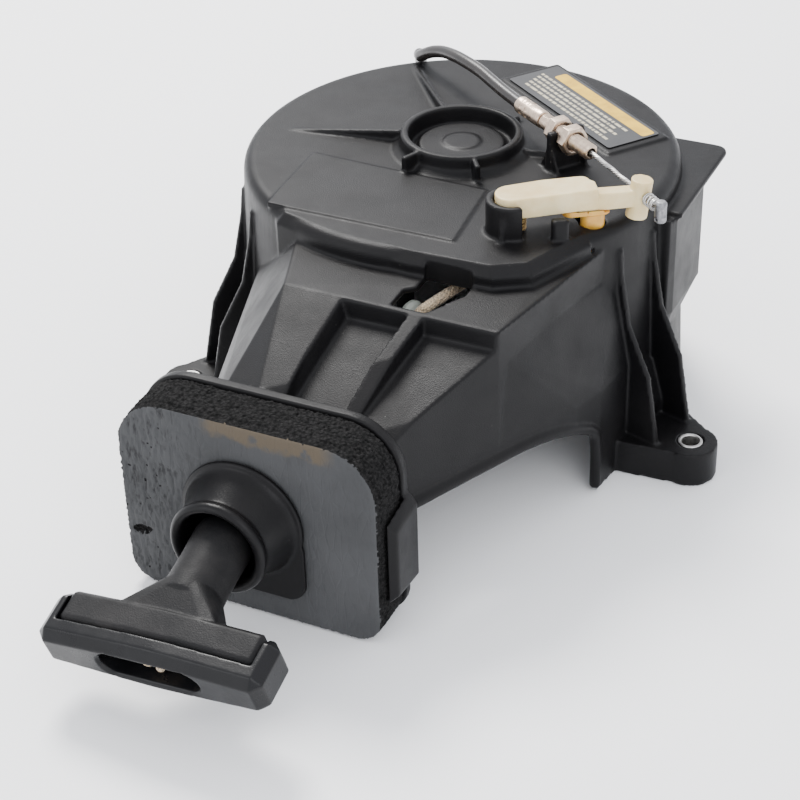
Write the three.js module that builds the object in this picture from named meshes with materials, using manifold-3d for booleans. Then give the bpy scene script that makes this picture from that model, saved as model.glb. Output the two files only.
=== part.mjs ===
// Recoil starter of a small outboard engine: moulded housing, rope sheave with rewind spring and drive
// pawls, T handle, foam-faced flange, and a start-in-gear interlock worked by a Bowden cable.
// Millimetres, +Z up, the handle is pulled towards -Y. Everything is laid out round the sheave axis
// (X = 0, Y = 0) with the feet on Z = 0; the last lines move the origin to the middle of the footprint.

import * as THREE from 'three';
import { mergeVertices } from 'three/addons/utils/BufferGeometryUtils.js';
import { ConvexGeometry } from 'three/addons/geometries/ConvexGeometry.js';
import Module from 'manifold-3d';

const wasm = await Module();
wasm.setup();

// ---------------------------------------------------------------- driving dimensions
const GAP = 0.3;

const COVER_R = 107;            // drum cover, at its top edge
const COVER_SKIRT_R = 112.5;    // drum cover, at its lower rim
const COVER_TOP = 128;
const COVER_EDGE = 5.8;         // rounding of the top edge
const WALL = 3;
const COVER_SIDES = 60;
const LEDGE_Z = 118;            // ledge in front of the cover
const LEDGE_Y = -135;           // where the spout starts to fall
const SPOUT_DROP = 9;           // pockets either side of the rope rib
const SPOUT_FLOOR_Z = 50;       // lower edge of the spout walls

const ARCH_X = [-77, 101];
const FLANGE_BACK_Y = -190;
const FLANGE_T = 5;
const FLANGE_X = [-70, 57];
const FLANGE_Z = [0.6, 100];
const FOAM_T = 25;

const FOOT_R = 13.2;
const FOOT_T = 17.6;
const FOOT_OFFSET = 143.5;
const FOOT_ANGLES = { foot_right: -17.5, foot_left: 217.6, foot_rear: 98 };
const COLLAR_R = 6;
const COLLAR_BORE = 4.25;

const HUB_R = 29.9;
const HUB_TOP = 137;

const ROPE_D = 5;
const ROPE_R = 60;              // pitch radius of the rope on the sheave
const ROPE_Z = 108;
const ROPE_OUT_X = -7.5;        // where the rope leaves the flange
const ROPE_OUT_Z = 52;

const HANDLE_SAG = 17;          // degrees that the handle hangs below the rope line
const HANDLE_ROLL = 5.5;
const HANDLE_HALF = 54;

const LEVER_PIVOT = [54, -68];
const LEVER_BOSS = [103.5, -36];
const LEVER_TOP = 147;
const LEVER_T = 10;
const TONGUE_POINT = [85, -47];
const TONGUE_HALF = [5.4, 4];
const LEVER_SWING = 14;

const POST_R = 9;               // centre post that the sheave turns on
const BOLT_R = 3;
const SPRING_PEG = [0, 49];     // holds the outer end of the rewind spring
const PIN_R = 2.2;

const CABLE_Z = 144;
const CABLE_END = [18, 26];     // crimp ferrule's free end
const CABLE_TIP = [71.5, -12.5];
const CABLE_D = 6.4;
const ADJUSTER_R = 4;           // M8 threaded barrel

// ---------------------------------------------------------------- helpers
const rad = THREE.MathUtils.degToRad;
const polar = (r, deg) => [r * Math.cos(rad(deg)), r * Math.sin(rad(deg))];

function paint(color, roughness, metalness = 0) {
  return new THREE.MeshStandardMaterial({ color, roughness, metalness });
}

const PLASTIC = paint(0x2a2829, 0.5);
const HANDLE_PLASTIC = paint(0x1d1c1e, 0.35);
const GRIP_RUBBER = paint(0x232022, 0.6);
const FOAM = paint(0x55575a, 0.95);
const STEEL = paint(0x9a9894, 0.35, 1);
const ZINC = paint(0xb79c86, 0.35, 1);
const BRASS = paint(0xc9a25a, 0.3, 1);
const NYLON = paint(0xe4d9b2, 0.45);
const AMBER = paint(0xc08a2c, 0.35);
const WHITE_NYLON = paint(0xd8e0d8, 0.4);
const SHEATH = paint(0x2b211c, 0.5);
const ROPE = paint(0xc9a883, 0.9);
const LABEL = paint(0xe0b43c, 0.5);
const LEAD = paint(0x7d8288, 0.6, 0.6);

// A closed three.js geometry as a solid.
function solid(geometry) {
  const bare = geometry.clone();
  bare.deleteAttribute('normal');
  bare.deleteAttribute('uv');
  const merged = mergeVertices(bare, 1e-4);
  const mesh = new wasm.Mesh({
    numProp: 3,
    vertProperties: new Float32Array(merged.attributes.position.array),
    triVerts: new Uint32Array(merged.index.array),
  });
  return new wasm.Manifold(mesh);
}

function geometryOf(body) {
  const mesh = body.getMesh();
  const geometry = new THREE.BufferGeometry();
  geometry.setAttribute('position', new THREE.BufferAttribute(mesh.vertProperties, 3));
  geometry.setIndex(new THREE.BufferAttribute(mesh.triVerts, 1));
  return geometry;
}

function move(geometry, x, y, z) {
  geometry.translate(x, y, z);
  return geometry;
}

const join = (bodies) => bodies.reduce((sum, body) => sum.add(body));
const cut = (body, tools) => tools.reduce((rest, tool) => rest.subtract(tool), body);

// Convex body round a list of points.
function hull(points) {
  return solid(new ConvexGeometry(points.map(([x, y, z]) => new THREE.Vector3(x, y, z))));
}

function box(x0, x1, y0, y1, z0, z1) {
  const geometry = new THREE.BoxGeometry(x1 - x0, y1 - y0, z1 - z0);
  return solid(move(geometry, (x0 + x1) / 2, (y0 + y1) / 2, (z0 + z1) / 2));
}

// Upright cylinder or cone from z0 to z1.
function post(x, y, z0, z1, r0, r1 = r0, sides = 24) {
  const geometry = new THREE.CylinderGeometry(r1, r0, z1 - z0, sides);
  geometry.rotateX(Math.PI / 2);
  return solid(move(geometry, x, y, (z0 + z1) / 2));
}

// Body of revolution about the Z axis from [radius, z] points; a profile off the axis closes on itself.
function turned(profile, sides = 36) {
  const points = profile.map(([r, z]) => new THREE.Vector2(r, z));
  const onAxis = profile[0][0] === 0 && profile[profile.length - 1][0] === 0;
  if (!onAxis) points.push(points[0].clone());
  const geometry = new THREE.LatheGeometry(points, sides);
  geometry.rotateX(Math.PI / 2);
  const body = solid(geometry);
  if (body.volume() > 0) return body;
  geometry.index.array.reverse();
  return solid(geometry);
}

// Prism of an outline of [x, y] points, or a three.js shape, from z0 to z1.
function prism(outline, z0, z1, curveSegments = 10) {
  const isShape = outline instanceof THREE.Shape;
  const shape = isShape ? outline : new THREE.Shape(outline.map(([x, y]) => new THREE.Vector2(x, y)));
  const options = { depth: z1 - z0, bevelEnabled: false, curveSegments };
  return solid(move(new THREE.ExtrudeGeometry(shape, options), 0, 0, z0));
}

function roundedRect(w, h, r) {
  const shape = new THREE.Shape();
  const x = w / 2;
  const y = h / 2;
  shape.moveTo(-x + r, -y);
  shape.lineTo(x - r, -y);
  shape.absarc(x - r, -y + r, r, -Math.PI / 2, 0);
  shape.lineTo(x, y - r);
  shape.absarc(x - r, y - r, r, 0, Math.PI / 2);
  shape.lineTo(-x + r, y);
  shape.absarc(-x + r, y - r, r, Math.PI / 2, Math.PI);
  shape.lineTo(-x, -y + r);
  shape.absarc(-x + r, -y + r, r, Math.PI, 1.5 * Math.PI);
  return shape;
}

function circle(r, sides) {
  const step = (2 * Math.PI) / sides;
  const points = Array.from({ length: sides }, (_, i) => new THREE.Vector2(r * Math.cos(i * step),
    r * Math.sin(i * step)));
  return new THREE.Shape(points);
}

// Round bar of one diameter along a smooth line through the points.
function bar(points, d, steps, sides = 8, tension = 0.5) {
  const line = new THREE.CatmullRomCurve3(points.map((p) => new THREE.Vector3(...p)), false,
    'catmullrom', tension);
  return solid(new THREE.ExtrudeGeometry(circle(d / 2, sides), { steps, extrudePath: line }));
}

// Coil spring along +Z from the origin.
function spring(r, wire, length, turns, sides = 5) {
  const points = [];
  const count = Math.round(turns * 9);
  for (let i = 0; i <= count; i++) {
    const [x, y] = polar(r, (i / count) * turns * 360);
    points.push([x, y, (i / count) * length]);
  }
  return bar(points, wire, count, sides);
}

// Turns +Z of a body towards a direction and moves its origin to a point.
function aim(body, from, direction) {
  const axis = new THREE.Vector3(...direction).normalize();
  const turn = new THREE.Quaternion().setFromUnitVectors(new THREE.Vector3(0, 0, 1), axis);
  const matrix = new THREE.Matrix4().compose(new THREE.Vector3(...from), turn,
    new THREE.Vector3(1, 1, 1));
  return body.transform(matrix.elements);
}

function turn(body, x, y, z) {
  return body.rotate([x, y, z]);
}

const starter = new THREE.Group();
const cordNames = new Set();

function node(name, body, material, parent = starter) {
  const geometry = body.isBufferGeometry ? body : geometryOf(body);
  const mesh = new THREE.Mesh(geometry, material);
  mesh.name = name;
  parent.add(mesh);
  return mesh;
}

const footPlace = (name) => polar(FOOT_OFFSET, FOOT_ANGLES[name]);

// ---------------------------------------------------------------- housing
// Height of the spout's top face at a given Y.
const SPOUT_FRONT_Z = 98;
function spoutTop(y) {
  const t = (LEDGE_Y - y) / (LEDGE_Y - FLANGE_BACK_Y);
  return LEDGE_Z + Math.max(0, t) * (SPOUT_FRONT_Z - LEDGE_Z);
}

// Stations of the spout, rear to front; inset shrinks them for the inside.
function spoutHull(inset, top) {
  const rear = -50;
  const front = inset ? FLANGE_BACK_Y - 0.5 : FLANGE_BACK_Y;
  const low = inset ? -5 : SPOUT_FLOOR_Z;
  const i = inset;
  const points = [];
  const station = (y, left, slope, topX, right, z, rightTop) => {
    points.push([left[0] + i, y, low], [left[0] + i, y, left[1] - i], [slope[0] + i, y, slope[1] - i]);
    points.push([topX + i, y, z - top], [right - i, y, rightTop - top], [right - i, y, low]);
  };
  station(rear, [-88, 60], [-80, 92], -58, 94, LEDGE_Z, LEDGE_Z);
  station(-97, [-76, 56], [-62, 90], -38, 76, LEDGE_Z, LEDGE_Z);
  station(LEDGE_Y, [-60, 60], [-51, 86], -28, 76, LEDGE_Z, LEDGE_Z - 1);
  station(front, [-46, 66], [-35, 86], -13, 50, SPOUT_FRONT_Z, 87);
  return hull(points);
}

// The spout's right wall swings out low down and runs into the front of the right foot.
function wallFlare(inset) {
  const plan = [[76, -135], [88, -110], [96, -92], [102, -74], [106, -47]];
  const top = [[75, -133, 104], [75, -97, 108], [96, -46, 100]];
  const low = inset ? -5 : 0;
  const points = plan.flatMap(([x, y]) => [low, 56].map((z) => [x - 1.3 * inset, y + 0.5 * inset, z]));
  return hull([...points, ...top.map(([x, y, z]) => [x - 1.3 * inset, y + 0.5 * inset, z - inset])]);
}

function topBlock(inset, top) {
  const outline = [[-66, -76], [-52, -96], [-22, -104], [20, -107], [60, -105], [75, -96], [90, -60],
    [0, 0]];
  const points = [];
  for (const [x, y] of outline) {
    const shrink = 1 - 4.5 / Math.hypot(x, y + 20);
    points.push([x, y + inset, 60], [x, y + inset, top - 4.5]);
    points.push([x * shrink, (y + 20) * shrink - 20 + inset, top]);
  }
  return hull(points);
}

function coverOuter() {
  const profile = [[0, 0], [COVER_SKIRT_R, 0], [COVER_SKIRT_R - 0.6, 16]];
  profile.push([COVER_R + 0.2, COVER_TOP - COVER_EDGE]);
  for (let i = 1; i <= 4; i++) {
    const [dr, dz] = polar(COVER_EDGE, (i * 90) / 4);
    profile.push([COVER_R - COVER_EDGE + dr, COVER_TOP - COVER_EDGE + dz]);
  }
  profile.push([0, COVER_TOP]);
  return turned(profile, COVER_SIDES);
}

function coverInner() {
  const top = COVER_TOP - WALL;
  return turned([[0, -5], [COVER_SKIRT_R - WALL, -5], [COVER_R - WALL, top - 3],
    [COVER_R - WALL - 3, top], [0, top]], COVER_SIDES);
}

function hub() {
  const ring = turned([[0, COVER_TOP - 1], [33.5, COVER_TOP - 1], [33.5, COVER_TOP + 0.6],
    [HUB_R + 0.6, COVER_TOP + 2.4], [HUB_R, HUB_TOP - 0.8], [HUB_R - 0.8, HUB_TOP],
    [26.6, HUB_TOP], [26, HUB_TOP - 0.6], [25.4, 127], [22, 127], [21, 130.8], [9.4, 130.8],
    [8.8, 131.6], [0, 131.6]], 36);
  const parts = [ring];
  const ribs = [[8, 44, 130.4], [68, 40, 131], [128, 98, 134], [189, 88, 134], [247.5, 39, 136.2],
    [305, 38, 136.2]];
  for (const [deg, reach, z] of ribs) {
    const [w, foot] = [1.6, 127];
    const near = HUB_R - 2;
    const low = reach > 50 ? COVER_TOP + 0.2 : z;
    const points = [];
    for (const s of [-w, w]) {
      points.push([near, s, foot], [reach, s, foot], [near, s * 0.8, z], [reach, s * 0.8, low]);
    }
    parts.push(turn(hull(points), 0, 0, deg));
  }
  return join(parts);
}

function foot(name) {
  const [x, y] = footPlace(name);
  const deg = FOOT_ANGLES[name];
  const outline = [];
  for (let i = -4; i <= 4; i++) {
    const [dx, dy] = polar(FOOT_R, i * 22.5);
    outline.push([FOOT_OFFSET + dx, dy]);
  }
  outline.push([108, 27], [100, 27], [100, -27], [108, -27]);
  const lug = turn(prism(outline, 0, FOOT_T), 0, 0, deg);
  const parts = [lug];
  for (const side of [-12.6, 12.6]) {
    const profile = [[98, 114], [108, 114], [109.5, 100], [114.5, 76], [127, 52], [133.5, FOOT_T],
      [133.5, 10], [98, 10]];
    const fin = prism(profile, -1.5, 1.5);
    parts.push(turn(turn(fin, 90, 0, 0).translate([0, side, 0]), 0, 0, deg));
  }
  const lower = hull([[104, -14, 0], [104, 14, 0], [118, -14, 0], [118, 14, 0], [104, -14, 48],
    [104, 14, 48], [111.5, -14, 46], [111.5, 14, 46], [118, -14, 26], [118, 14, 26]]);
  parts.push(turn(lower, 0, 0, deg));
  return { body: join(parts), bore: post(x, y, -1, FOOT_T + 1, COLLAR_R + GAP, COLLAR_R + GAP, 28) };
}

// Shelf and pod on the cover's right rear.
function shelf() {
  const shape = new THREE.Shape();
  shape.moveTo(60, -6);
  shape.lineTo(115.5, -8);
  shape.lineTo(115.5, 61);
  shape.absarc(108.5, 61, 7, 0, Math.PI / 2);
  shape.lineTo(60, 68);
  const plate = prism(shape, 115.4, 118.2, 6);
  const pod = prism([[80, -14], [112, -14], [113.6, -8], [113.6, 33], [104, 46], [80, 46]], 64, 116);
  const lower = hull([[80, -14, 64.5], [112, -14, 64.5], [113.6, 33, 64.5], [80, 46, 64.5],
    [80, -10, 44], [108, -10, 44], [104, 38, 44], [80, 40, 44]]);
  return join([plate, pod, lower]);
}

function shelfInner() {
  return prism([[80, -11], [109.5, -11], [110.6, -7], [110.6, 31.5], [102.5, 42.8], [80, 42.8]], 50, 113);
}

// Raised pads that labels lie on.
const LEFT_PAD = [[-61, -88], [34, -88], [29, -38], [-64, -34]];
const LABEL_PAD = { at: [39.5, 61.5], size: [101, 35], deg: -36.5 };

function pads() {
  const left = prism(LEFT_PAD, COVER_TOP - 2, COVER_TOP + 0.8);
  const [w, d] = LABEL_PAD.size;
  const right = turn(prism(roundedRect(w, d, 1.5), COVER_TOP - 4, COVER_TOP + 1.2, 3), 0, 0,
    LABEL_PAD.deg).translate([...LABEL_PAD.at, 0]);
  return join([left, right]);
}

// Outline of the flange in its own plane: X across, Y up.
function flangeShape(grow = 0) {
  const [x0, x1] = [FLANGE_X[0] - grow, FLANGE_X[1] + grow];
  const [z0, z1] = [FLANGE_Z[0], FLANGE_Z[1] + grow];
  const [top, low] = [26 + grow, 12];
  const shape = new THREE.Shape();
  shape.moveTo(x0 + low, z0);
  shape.lineTo(x1 - low, z0);
  shape.absarc(x1 - low, z0 + low, low, -Math.PI / 2, 0);
  shape.lineTo(x1, z1 - top);
  shape.absarc(x1 - top, z1 - top, top, 0, Math.PI / 2);
  shape.lineTo(x0 + top, z1);
  shape.absarc(x0 + top, z1 - top, top, Math.PI / 2, Math.PI);
  shape.lineTo(x0, z0 + low);
  shape.absarc(x0 + low, z0 + low, low, Math.PI, 1.5 * Math.PI);
  return shape;
}

// A shape drawn in X and Z, pushed from y0 to y1.
function standing(shape, y0, y1, curveSegments = 8) {
  return turn(prism(shape, -y1, -y0, curveSegments), 90, 0, 0);
}

function flange() {
  const plate = standing(flangeShape(), FLANGE_BACK_Y - FLANGE_T, FLANGE_BACK_Y);
  const parts = [plate];
  const x = FLANGE_X[1];
  const tab = hull([[x + GAP, -213, 20], [x + 4.5, -211, 24], [x + GAP, -213, 62], [x + 4.5, -211, 58],
    [x + 4.5, -190, 22], [x + 4.5, -190, 60], [x + GAP, -190, 16], [x + GAP, -190, 66]]);
  parts.push(tab, box(x - 5, x + 4, FLANGE_BACK_Y - FLANGE_T, FLANGE_BACK_Y, 22, 60));
  // gussets from the flange back to the spout walls
  for (const gx of [-51, 42]) {
    parts.push(hull([[gx - 1.5, -189, 8], [gx + 1.5, -189, 8], [gx - 1.5, -191, 60],
      [gx + 1.5, -191, 60], [gx - 1.5, -158, 48], [gx + 1.5, -158, 48], [gx - 1.5, -158, 60],
      [gx + 1.5, -158, 60]]));
  }
  return join(parts);
}

// Pockets either side of the rope rib.
const RIB = { rear: [33.5, 41], front: [24.5, 31.5] };
function pockets() {
  const top = (y) => spoutTop(y) - SPOUT_DROP;
  const rear = LEDGE_Y - 2;
  const front = FLANGE_BACK_Y;
  const rightPocket = hull([[RIB.rear[1], rear, top(rear)], [RIB.front[1], front, top(front)],
    [90, rear, top(rear)], [90, front, top(front)], [RIB.rear[1], rear + 2, 130],
    [90, rear + 2, 130], [RIB.front[1], front, 130], [90, front, 130]]);
  const leftPocket = hull([[RIB.rear[0], rear, top(rear)], [RIB.front[0], front, top(front)],
    [4, rear, top(rear)], [0, front, top(front)], [RIB.rear[0], rear + 2, 130], [-3, rear + 2, 130],
    [RIB.front[0], front, 130], [-5, front, 130]]);
  return [rightPocket, leftPocket];
}

const HOLE = [[28, -104], [50.5, -104], [50.5, -114], [40, -132.5], [23.5, -132.5], [23.5, -119],
  [28, -115]];

// Rope path between the sheave and the flange, and the roller that it runs over.
const ROLLER = { at: [33.5, -112], z: 97, r: 8, half: 14, deg: 16 };
const CHEEK_T = 3.2;

function rollerCheeks() {
  const parts = [];
  for (const side of [-1, 1]) {
    const x = side * (ROLLER.half + 0.8 + CHEEK_T / 2);
    parts.push(box(x - CHEEK_T / 2, x + CHEEK_T / 2, -6, 6, ROLLER.z - 7, LEDGE_Z - 1));
  }
  const pair = turn(join(parts), 0, 0, -ROLLER.deg).translate([...ROLLER.at, 0]);
  return pair;
}

function rollerAxis(body) {
  return turn(turn(body, 0, 90, 0), 0, 0, -ROLLER.deg).translate([...ROLLER.at, ROLLER.z]);
}

// Cup that backs the lever's pivot end, the stop post and the cable bracket.
function leverSeat() {
  const [px, py] = LEVER_PIVOT;
  const wall = new THREE.Shape();
  wall.absarc(0, 0, 11.8, rad(150), rad(318), false);
  wall.absarc(0, 0, 8.3, rad(318), rad(150), true);
  const cup = prism(wall, COVER_TOP - 2, 144.5, 10).translate([px, py, 0]);
  const spine = hull([[-1.3, -11, 126], [1.3, -11, 126], [-1.3, -14.5, 126], [1.3, -14.5, 126],
    [-1, -11, 143.5], [1, -11, 143.5]]).translate([px + 0.5, py, 0]);
  const stem = post(px, py, COVER_TOP - 2, LEVER_TOP - LEVER_T - 1.4, 4.6);
  const stop = prism(roundedRect(8, 5, 1.5), COVER_TOP - 3, 138.2, 3);
  const peg = turn(stop, 0, 0, 33).translate([77.5, -68, 0]);
  return join([cup, spine, stem, peg]);
}

const cableDirection = () => {
  const [dx, dy] = [CABLE_TIP[0] - CABLE_END[0], CABLE_TIP[1] - CABLE_END[1]];
  const length = Math.hypot(dx, dy);
  return [dx / length, dy / length, 0];
};
const CABLE_DEG = (Math.atan2(cableDirection()[1], cableDirection()[0]) * 180) / Math.PI;
const alongCable = (d) => {
  const [ux, uy] = cableDirection();
  return [CABLE_END[0] + ux * d, CABLE_END[1] + uy * d, CABLE_Z];
};
const BRACKET_AT = 44;
const FERRULE = [4.2, 25.2];     // distances along the cable's axis

function cableBracket() {
  const [x, y] = alongCable(BRACKET_AT);
  const parts = [];
  for (const side of [-1, 1]) {
    const c = side * 7.5;
    parts.push(hull([[-2.2, c - 2.6, 126], [2.2, c - 2.6, 126], [-2.2, c + 2.6, 126],
      [2.2, c + 2.6, 126], [-1.8, c - 2.2, 147.5], [1.8, c - 2.2, 147.5], [-1.8, c + 2.2, 147.5],
      [1.8, c + 2.2, 147.5]]));
    parts.push(hull([[-9, side * 9, 126], [9, side * 9, 126], [-9, side * 7.6, 126],
      [9, side * 7.6, 126], [-1.5, side * 9, 140], [1.5, side * 9, 140]]));
  }
  parts.push(box(-2.2, 2.2, -9, 9, 126, CABLE_Z - 4.6));
  return turn(join(parts), 0, 0, CABLE_DEG).translate([x, y, 0]);
}

// Curved slot that the stopper's tongue swings in.
function tongueSlot() {
  const [px, py] = LEVER_PIVOT;
  const [dx, dy] = [TONGUE_POINT[0] - px, TONGUE_POINT[1] - py];
  const reach = Math.hypot(dx, dy);
  const start = Math.atan2(dy, dx);
  const end = start + rad(LEVER_SWING);
  const half = TONGUE_HALF[0] + 0.7;
  const shape = new THREE.Shape();
  shape.absarc(0, 0, reach + half, start, end, false);
  shape.absarc(reach * Math.cos(end), reach * Math.sin(end), half, end, end + Math.PI, false);
  shape.absarc(0, 0, reach - half, end, start, true);
  shape.absarc(reach * Math.cos(start), reach * Math.sin(start), half, start + Math.PI,
    start + 2 * Math.PI, false);
  return prism(shape, 100, 140, 8).translate([px, py, 0]);
}

function housing() {
  const feet = Object.keys(FOOT_ANGLES).map(foot);
  let body = join([coverOuter(), topBlock(0, COVER_TOP), spoutHull(0, 0), wallFlare(0), shelf(),
    ...feet.map((f) => f.body)]);
  body = cut(body, pockets());
  body = cut(body, [coverInner(), topBlock(3.2, COVER_TOP - WALL), spoutHull(WALL, SPOUT_DROP + 3.5),
    wallFlare(WALL), spoutLedgeInner(), shelfInner()]);
  // the arch under the spout, between the front feet
  const arch = standing(roundedRect(ARCH_X[1] - ARCH_X[0], 2 * SPOUT_FLOOR_Z - 1, 20), -215, -45)
    .translate([(ARCH_X[0] + ARCH_X[1]) / 2, 0, 0]);
  body = body.subtract(arch);
  body = join([body, flange(), hub(), pads(), leverSeat(), cableBracket(), rollerCheeks()]);
  const centre = join([post(0, 0, 92, 127, POST_R, POST_R, 32),
    post(...SPRING_PEG, 107.5, 126, 2.2, 2.2, 16), turned([[0, 120.5], [15, 122], [15, 127], [0, 127]], 32)]);
  body = body.add(centre);
  return cut(body, [...feet.map((f) => f.bore), prism(HOLE, 100, 140), tongueSlot(),
    post(0, 0, 80, 116, BOLT_R + GAP, BOLT_R + GAP, 20),
    post(...LEVER_PIVOT, 124, 140, PIN_R + GAP, PIN_R + GAP, 16),
    standing(circle(15.3, 32), -200, -180).translate([ROPE_OUT_X, 0, ROPE_OUT_Z]),
    rollerAxis(post(0, 0, -30, 30, 2.4, 2.4, 16))]);
}

// Room under the ledge for the roller, in front of the cover's wall.
function spoutLedgeInner() {
  const plan = [[-38, -84], [73, -96], [73, -131], [-22, -131], [88, -60]];
  return hull([60, LEDGE_Z - WALL].flatMap((z) => plan.map(([x, y]) => [x, y, z])));
}

// ---------------------------------------------------------------- fixed pieces on the housing
function collars() {
  for (const name of Object.keys(FOOT_ANGLES)) {
    const [x, y] = footPlace(name);
    const sleeve = turned([[COLLAR_BORE, 0], [COLLAR_R, 0], [COLLAR_R, FOOT_T + 0.2],
      [COLLAR_BORE, FOOT_T + 0.2]], 24);
    node(name.replace('foot', 'collar'), sleeve.translate([x, y, 0]), STEEL);
  }
}

const guideAxis = (body) => turn(body, 90, 0, 0).translate([ROPE_OUT_X, 0, ROPE_OUT_Z]);
const FOAM_FRONT = -FLANGE_BACK_Y + FLANGE_T + FOAM_T;

function foamSeal() {
  const back = FLANGE_BACK_Y - FLANGE_T - GAP;
  const block = standing(flangeShape(-0.6), -FOAM_FRONT + 0.5, back);
  return block.subtract(guideAxis(post(0, 0, 180, 240, 16.8, 16.8, 28)));
}

function ropeGuide() {
  const face = FOAM_FRONT;
  const bore = [[9.5, 186], [6, 189], [4.5, 194], [4.5, 205], [17, 226], [17.7, 242.5],
    [18.8, 244.4], [20.4, 245]];
  const outside = [[22, 244.4], [22.8, 242.6], [22.2, 240.8], [20.8, 239.6], [26.4, face + 2.8],
    [29.4, face + 2.2], [29.4, face], [14.6, face], [14.6, 186]];
  const funnel = turned([...bore, ...outside], 28);
  const tail = prism(roundedRect(58.8, 37, 12), face, face + 2.2, 5).translate([0, -18.5, 0]);
  const clear = post(0, 0, 180, 240, 24, 24, 28);
  return guideAxis(funnel.add(tail.subtract(clear)));
}

function guideClip() {
  const back = -FLANGE_BACK_Y;
  return guideAxis(turned([[14.9, back - 2.2], [19.5, back - 2.2], [19.5, back - GAP],
    [14.9, back - GAP]], 20));
}

function labelPlate() {
  const [w, d] = LABEL_PAD.size;
  const z = COVER_TOP + 1.2 + GAP;
  const plate = prism(roundedRect(w - 8, d - 5, 1.5), z, z + 0.4, 3);
  return turn(plate, 0, 0, LABEL_PAD.deg).translate([...LABEL_PAD.at, 0]);
}

// ---------------------------------------------------------------- sheave, rewind spring and drive
const LUGS = 6;
const LUG_R = 90;
const TONGUE_DEG = (Math.atan2(TONGUE_POINT[1], TONGUE_POINT[0]) * 180) / Math.PI;
const PAWL_R = 44;
const PAWL_DEGS = [60, 240];

function sheave() {
  const reel = turned([[POST_R + 3.8, 98.3], [18, 98.3], [18, 103.6], [52, 103.6], [52, 100.8],
    [68, 100.8], [68, 103.8], [57.3, 103.8], [57.3, 112.2], [66, 112.2], [66, 115], [53, 115],
    [53, 106], [17.5, 106], [17.5, 119.4], [POST_R + 3.8, 119.4]], 40);
  const parts = [reel];
  for (let i = 0; i < LUGS; i++) {
    const deg = TONGUE_DEG + (i + 0.5) * (360 / LUGS);
    const lug = hull([[62, -12, 112.4], [62, 12, 112.4], [LUG_R, -7, 112.4], [LUG_R, 7, 112.4],
      [62, -12, 115], [62, 12, 115], [LUG_R, -6, 115], [LUG_R, 6, 115]]);
    parts.push(turn(lug, 0, 0, deg));
  }
  for (const deg of PAWL_DEGS) {
    const [x, y] = polar(PAWL_R, deg);
    parts.push(post(x, y, 94, 104, 2.6, 2.6, 16));
  }
  return join(parts);
}

function ropeWinding() {
  return turned([[57.6, 104.1], [ROPE_R + 2.4, 104.1], [ROPE_R + 2.4, 111.9], [57.6, 111.9]], 40);
}

function sheaveBush() {
  return turned([[POST_R + GAP, 98.3], [POST_R + 3.5, 98.3], [POST_R + 3.5, 119.4],
    [POST_R + GAP, 119.4]], 24);
}

// Flat strip wound inwards from an eye round the peg.
function rewindSpring() {
  const turns = 6;
  const steps = turns * 15;
  const [inner, outer] = [19, 45.4];
  const points = [];
  for (let i = 0; i <= steps; i++) {
    const t = i / steps;
    const [x, y] = polar(inner + (outer - inner) * t, 90 - turns * 360 * (1 - t));
    points.push(new THREE.Vector3(x, y, 0));
  }
  const strip = new THREE.Shape([[-3.9, -0.4], [3.9, -0.4], [3.9, 0.4], [-3.9, 0.4]]
    .map(([a, b]) => new THREE.Vector2(a, b)));
  const line = new THREE.CatmullRomCurve3(points);
  const geometry = new THREE.ExtrudeGeometry(strip, { steps, extrudePath: line });
  const eye = turned([[2.6, -3.9], [3.5, -3.9], [3.5, 3.9], [2.6, 3.9]], 18);
  const [px, py] = SPRING_PEG;
  return join([solid(geometry), eye.translate([px, py, 0])]).translate([0, 0, 110.5]);
}

function pawl(i) {
  const deg = PAWL_DEGS[i];
  const outline = new THREE.Shape();
  outline.absarc(0, 0, 5.5, Math.PI / 2 - 0.1, 2 * Math.PI - 0.6, false);
  outline.lineTo(15, -2.6);
  outline.lineTo(18.5, 2.2);
  outline.lineTo(16, 4);
  const arm = prism(outline, 95.6, 98, 5).subtract(post(0, 0, 90, 100, 2.9, 2.9, 16));
  const [x, y] = polar(PAWL_R, deg);
  return turn(arm, 0, 0, deg + 90).translate([x, y, 0]);
}

function pawlHardware() {
  PAWL_DEGS.forEach((deg, i) => {
    const [x, y] = polar(PAWL_R, deg);
    node(`drive_pawl_${i + 1}`, pawl(i), STEEL);
    node(`pawl_spring_${i + 1}`, spring(4.4, 0.7, 1.4, 1.6).translate([x, y, 98.7]), STEEL);
    node(`pawl_clip_${i + 1}`, turned([[2.9, 94.2], [5, 94.2], [5, 95.2], [2.9, 95.2]], 20)
      .translate([x, y, 0]), STEEL);
  });
}

function camPlate() {
  const disc = turned([[POST_R + 0.4, 96], [31, 96], [31, 97.6], [POST_R + 0.4, 97.6]], 28);
  const notches = PAWL_DEGS.map((deg) => {
    const [x, y] = polar(31, deg + 30);
    return post(x, y, 90, 100, 6, 6, 20);
  });
  return cut(disc, notches);
}

function centreBolt() {
  const head = new THREE.CylinderGeometry(5.8, 5.8, 5, 6);
  head.rotateX(Math.PI / 2);
  return join([solid(move(head, 0, 0, 87.4)), post(0, 0, 88, 112, BOLT_R, BOLT_R, 20)]);
}

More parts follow.
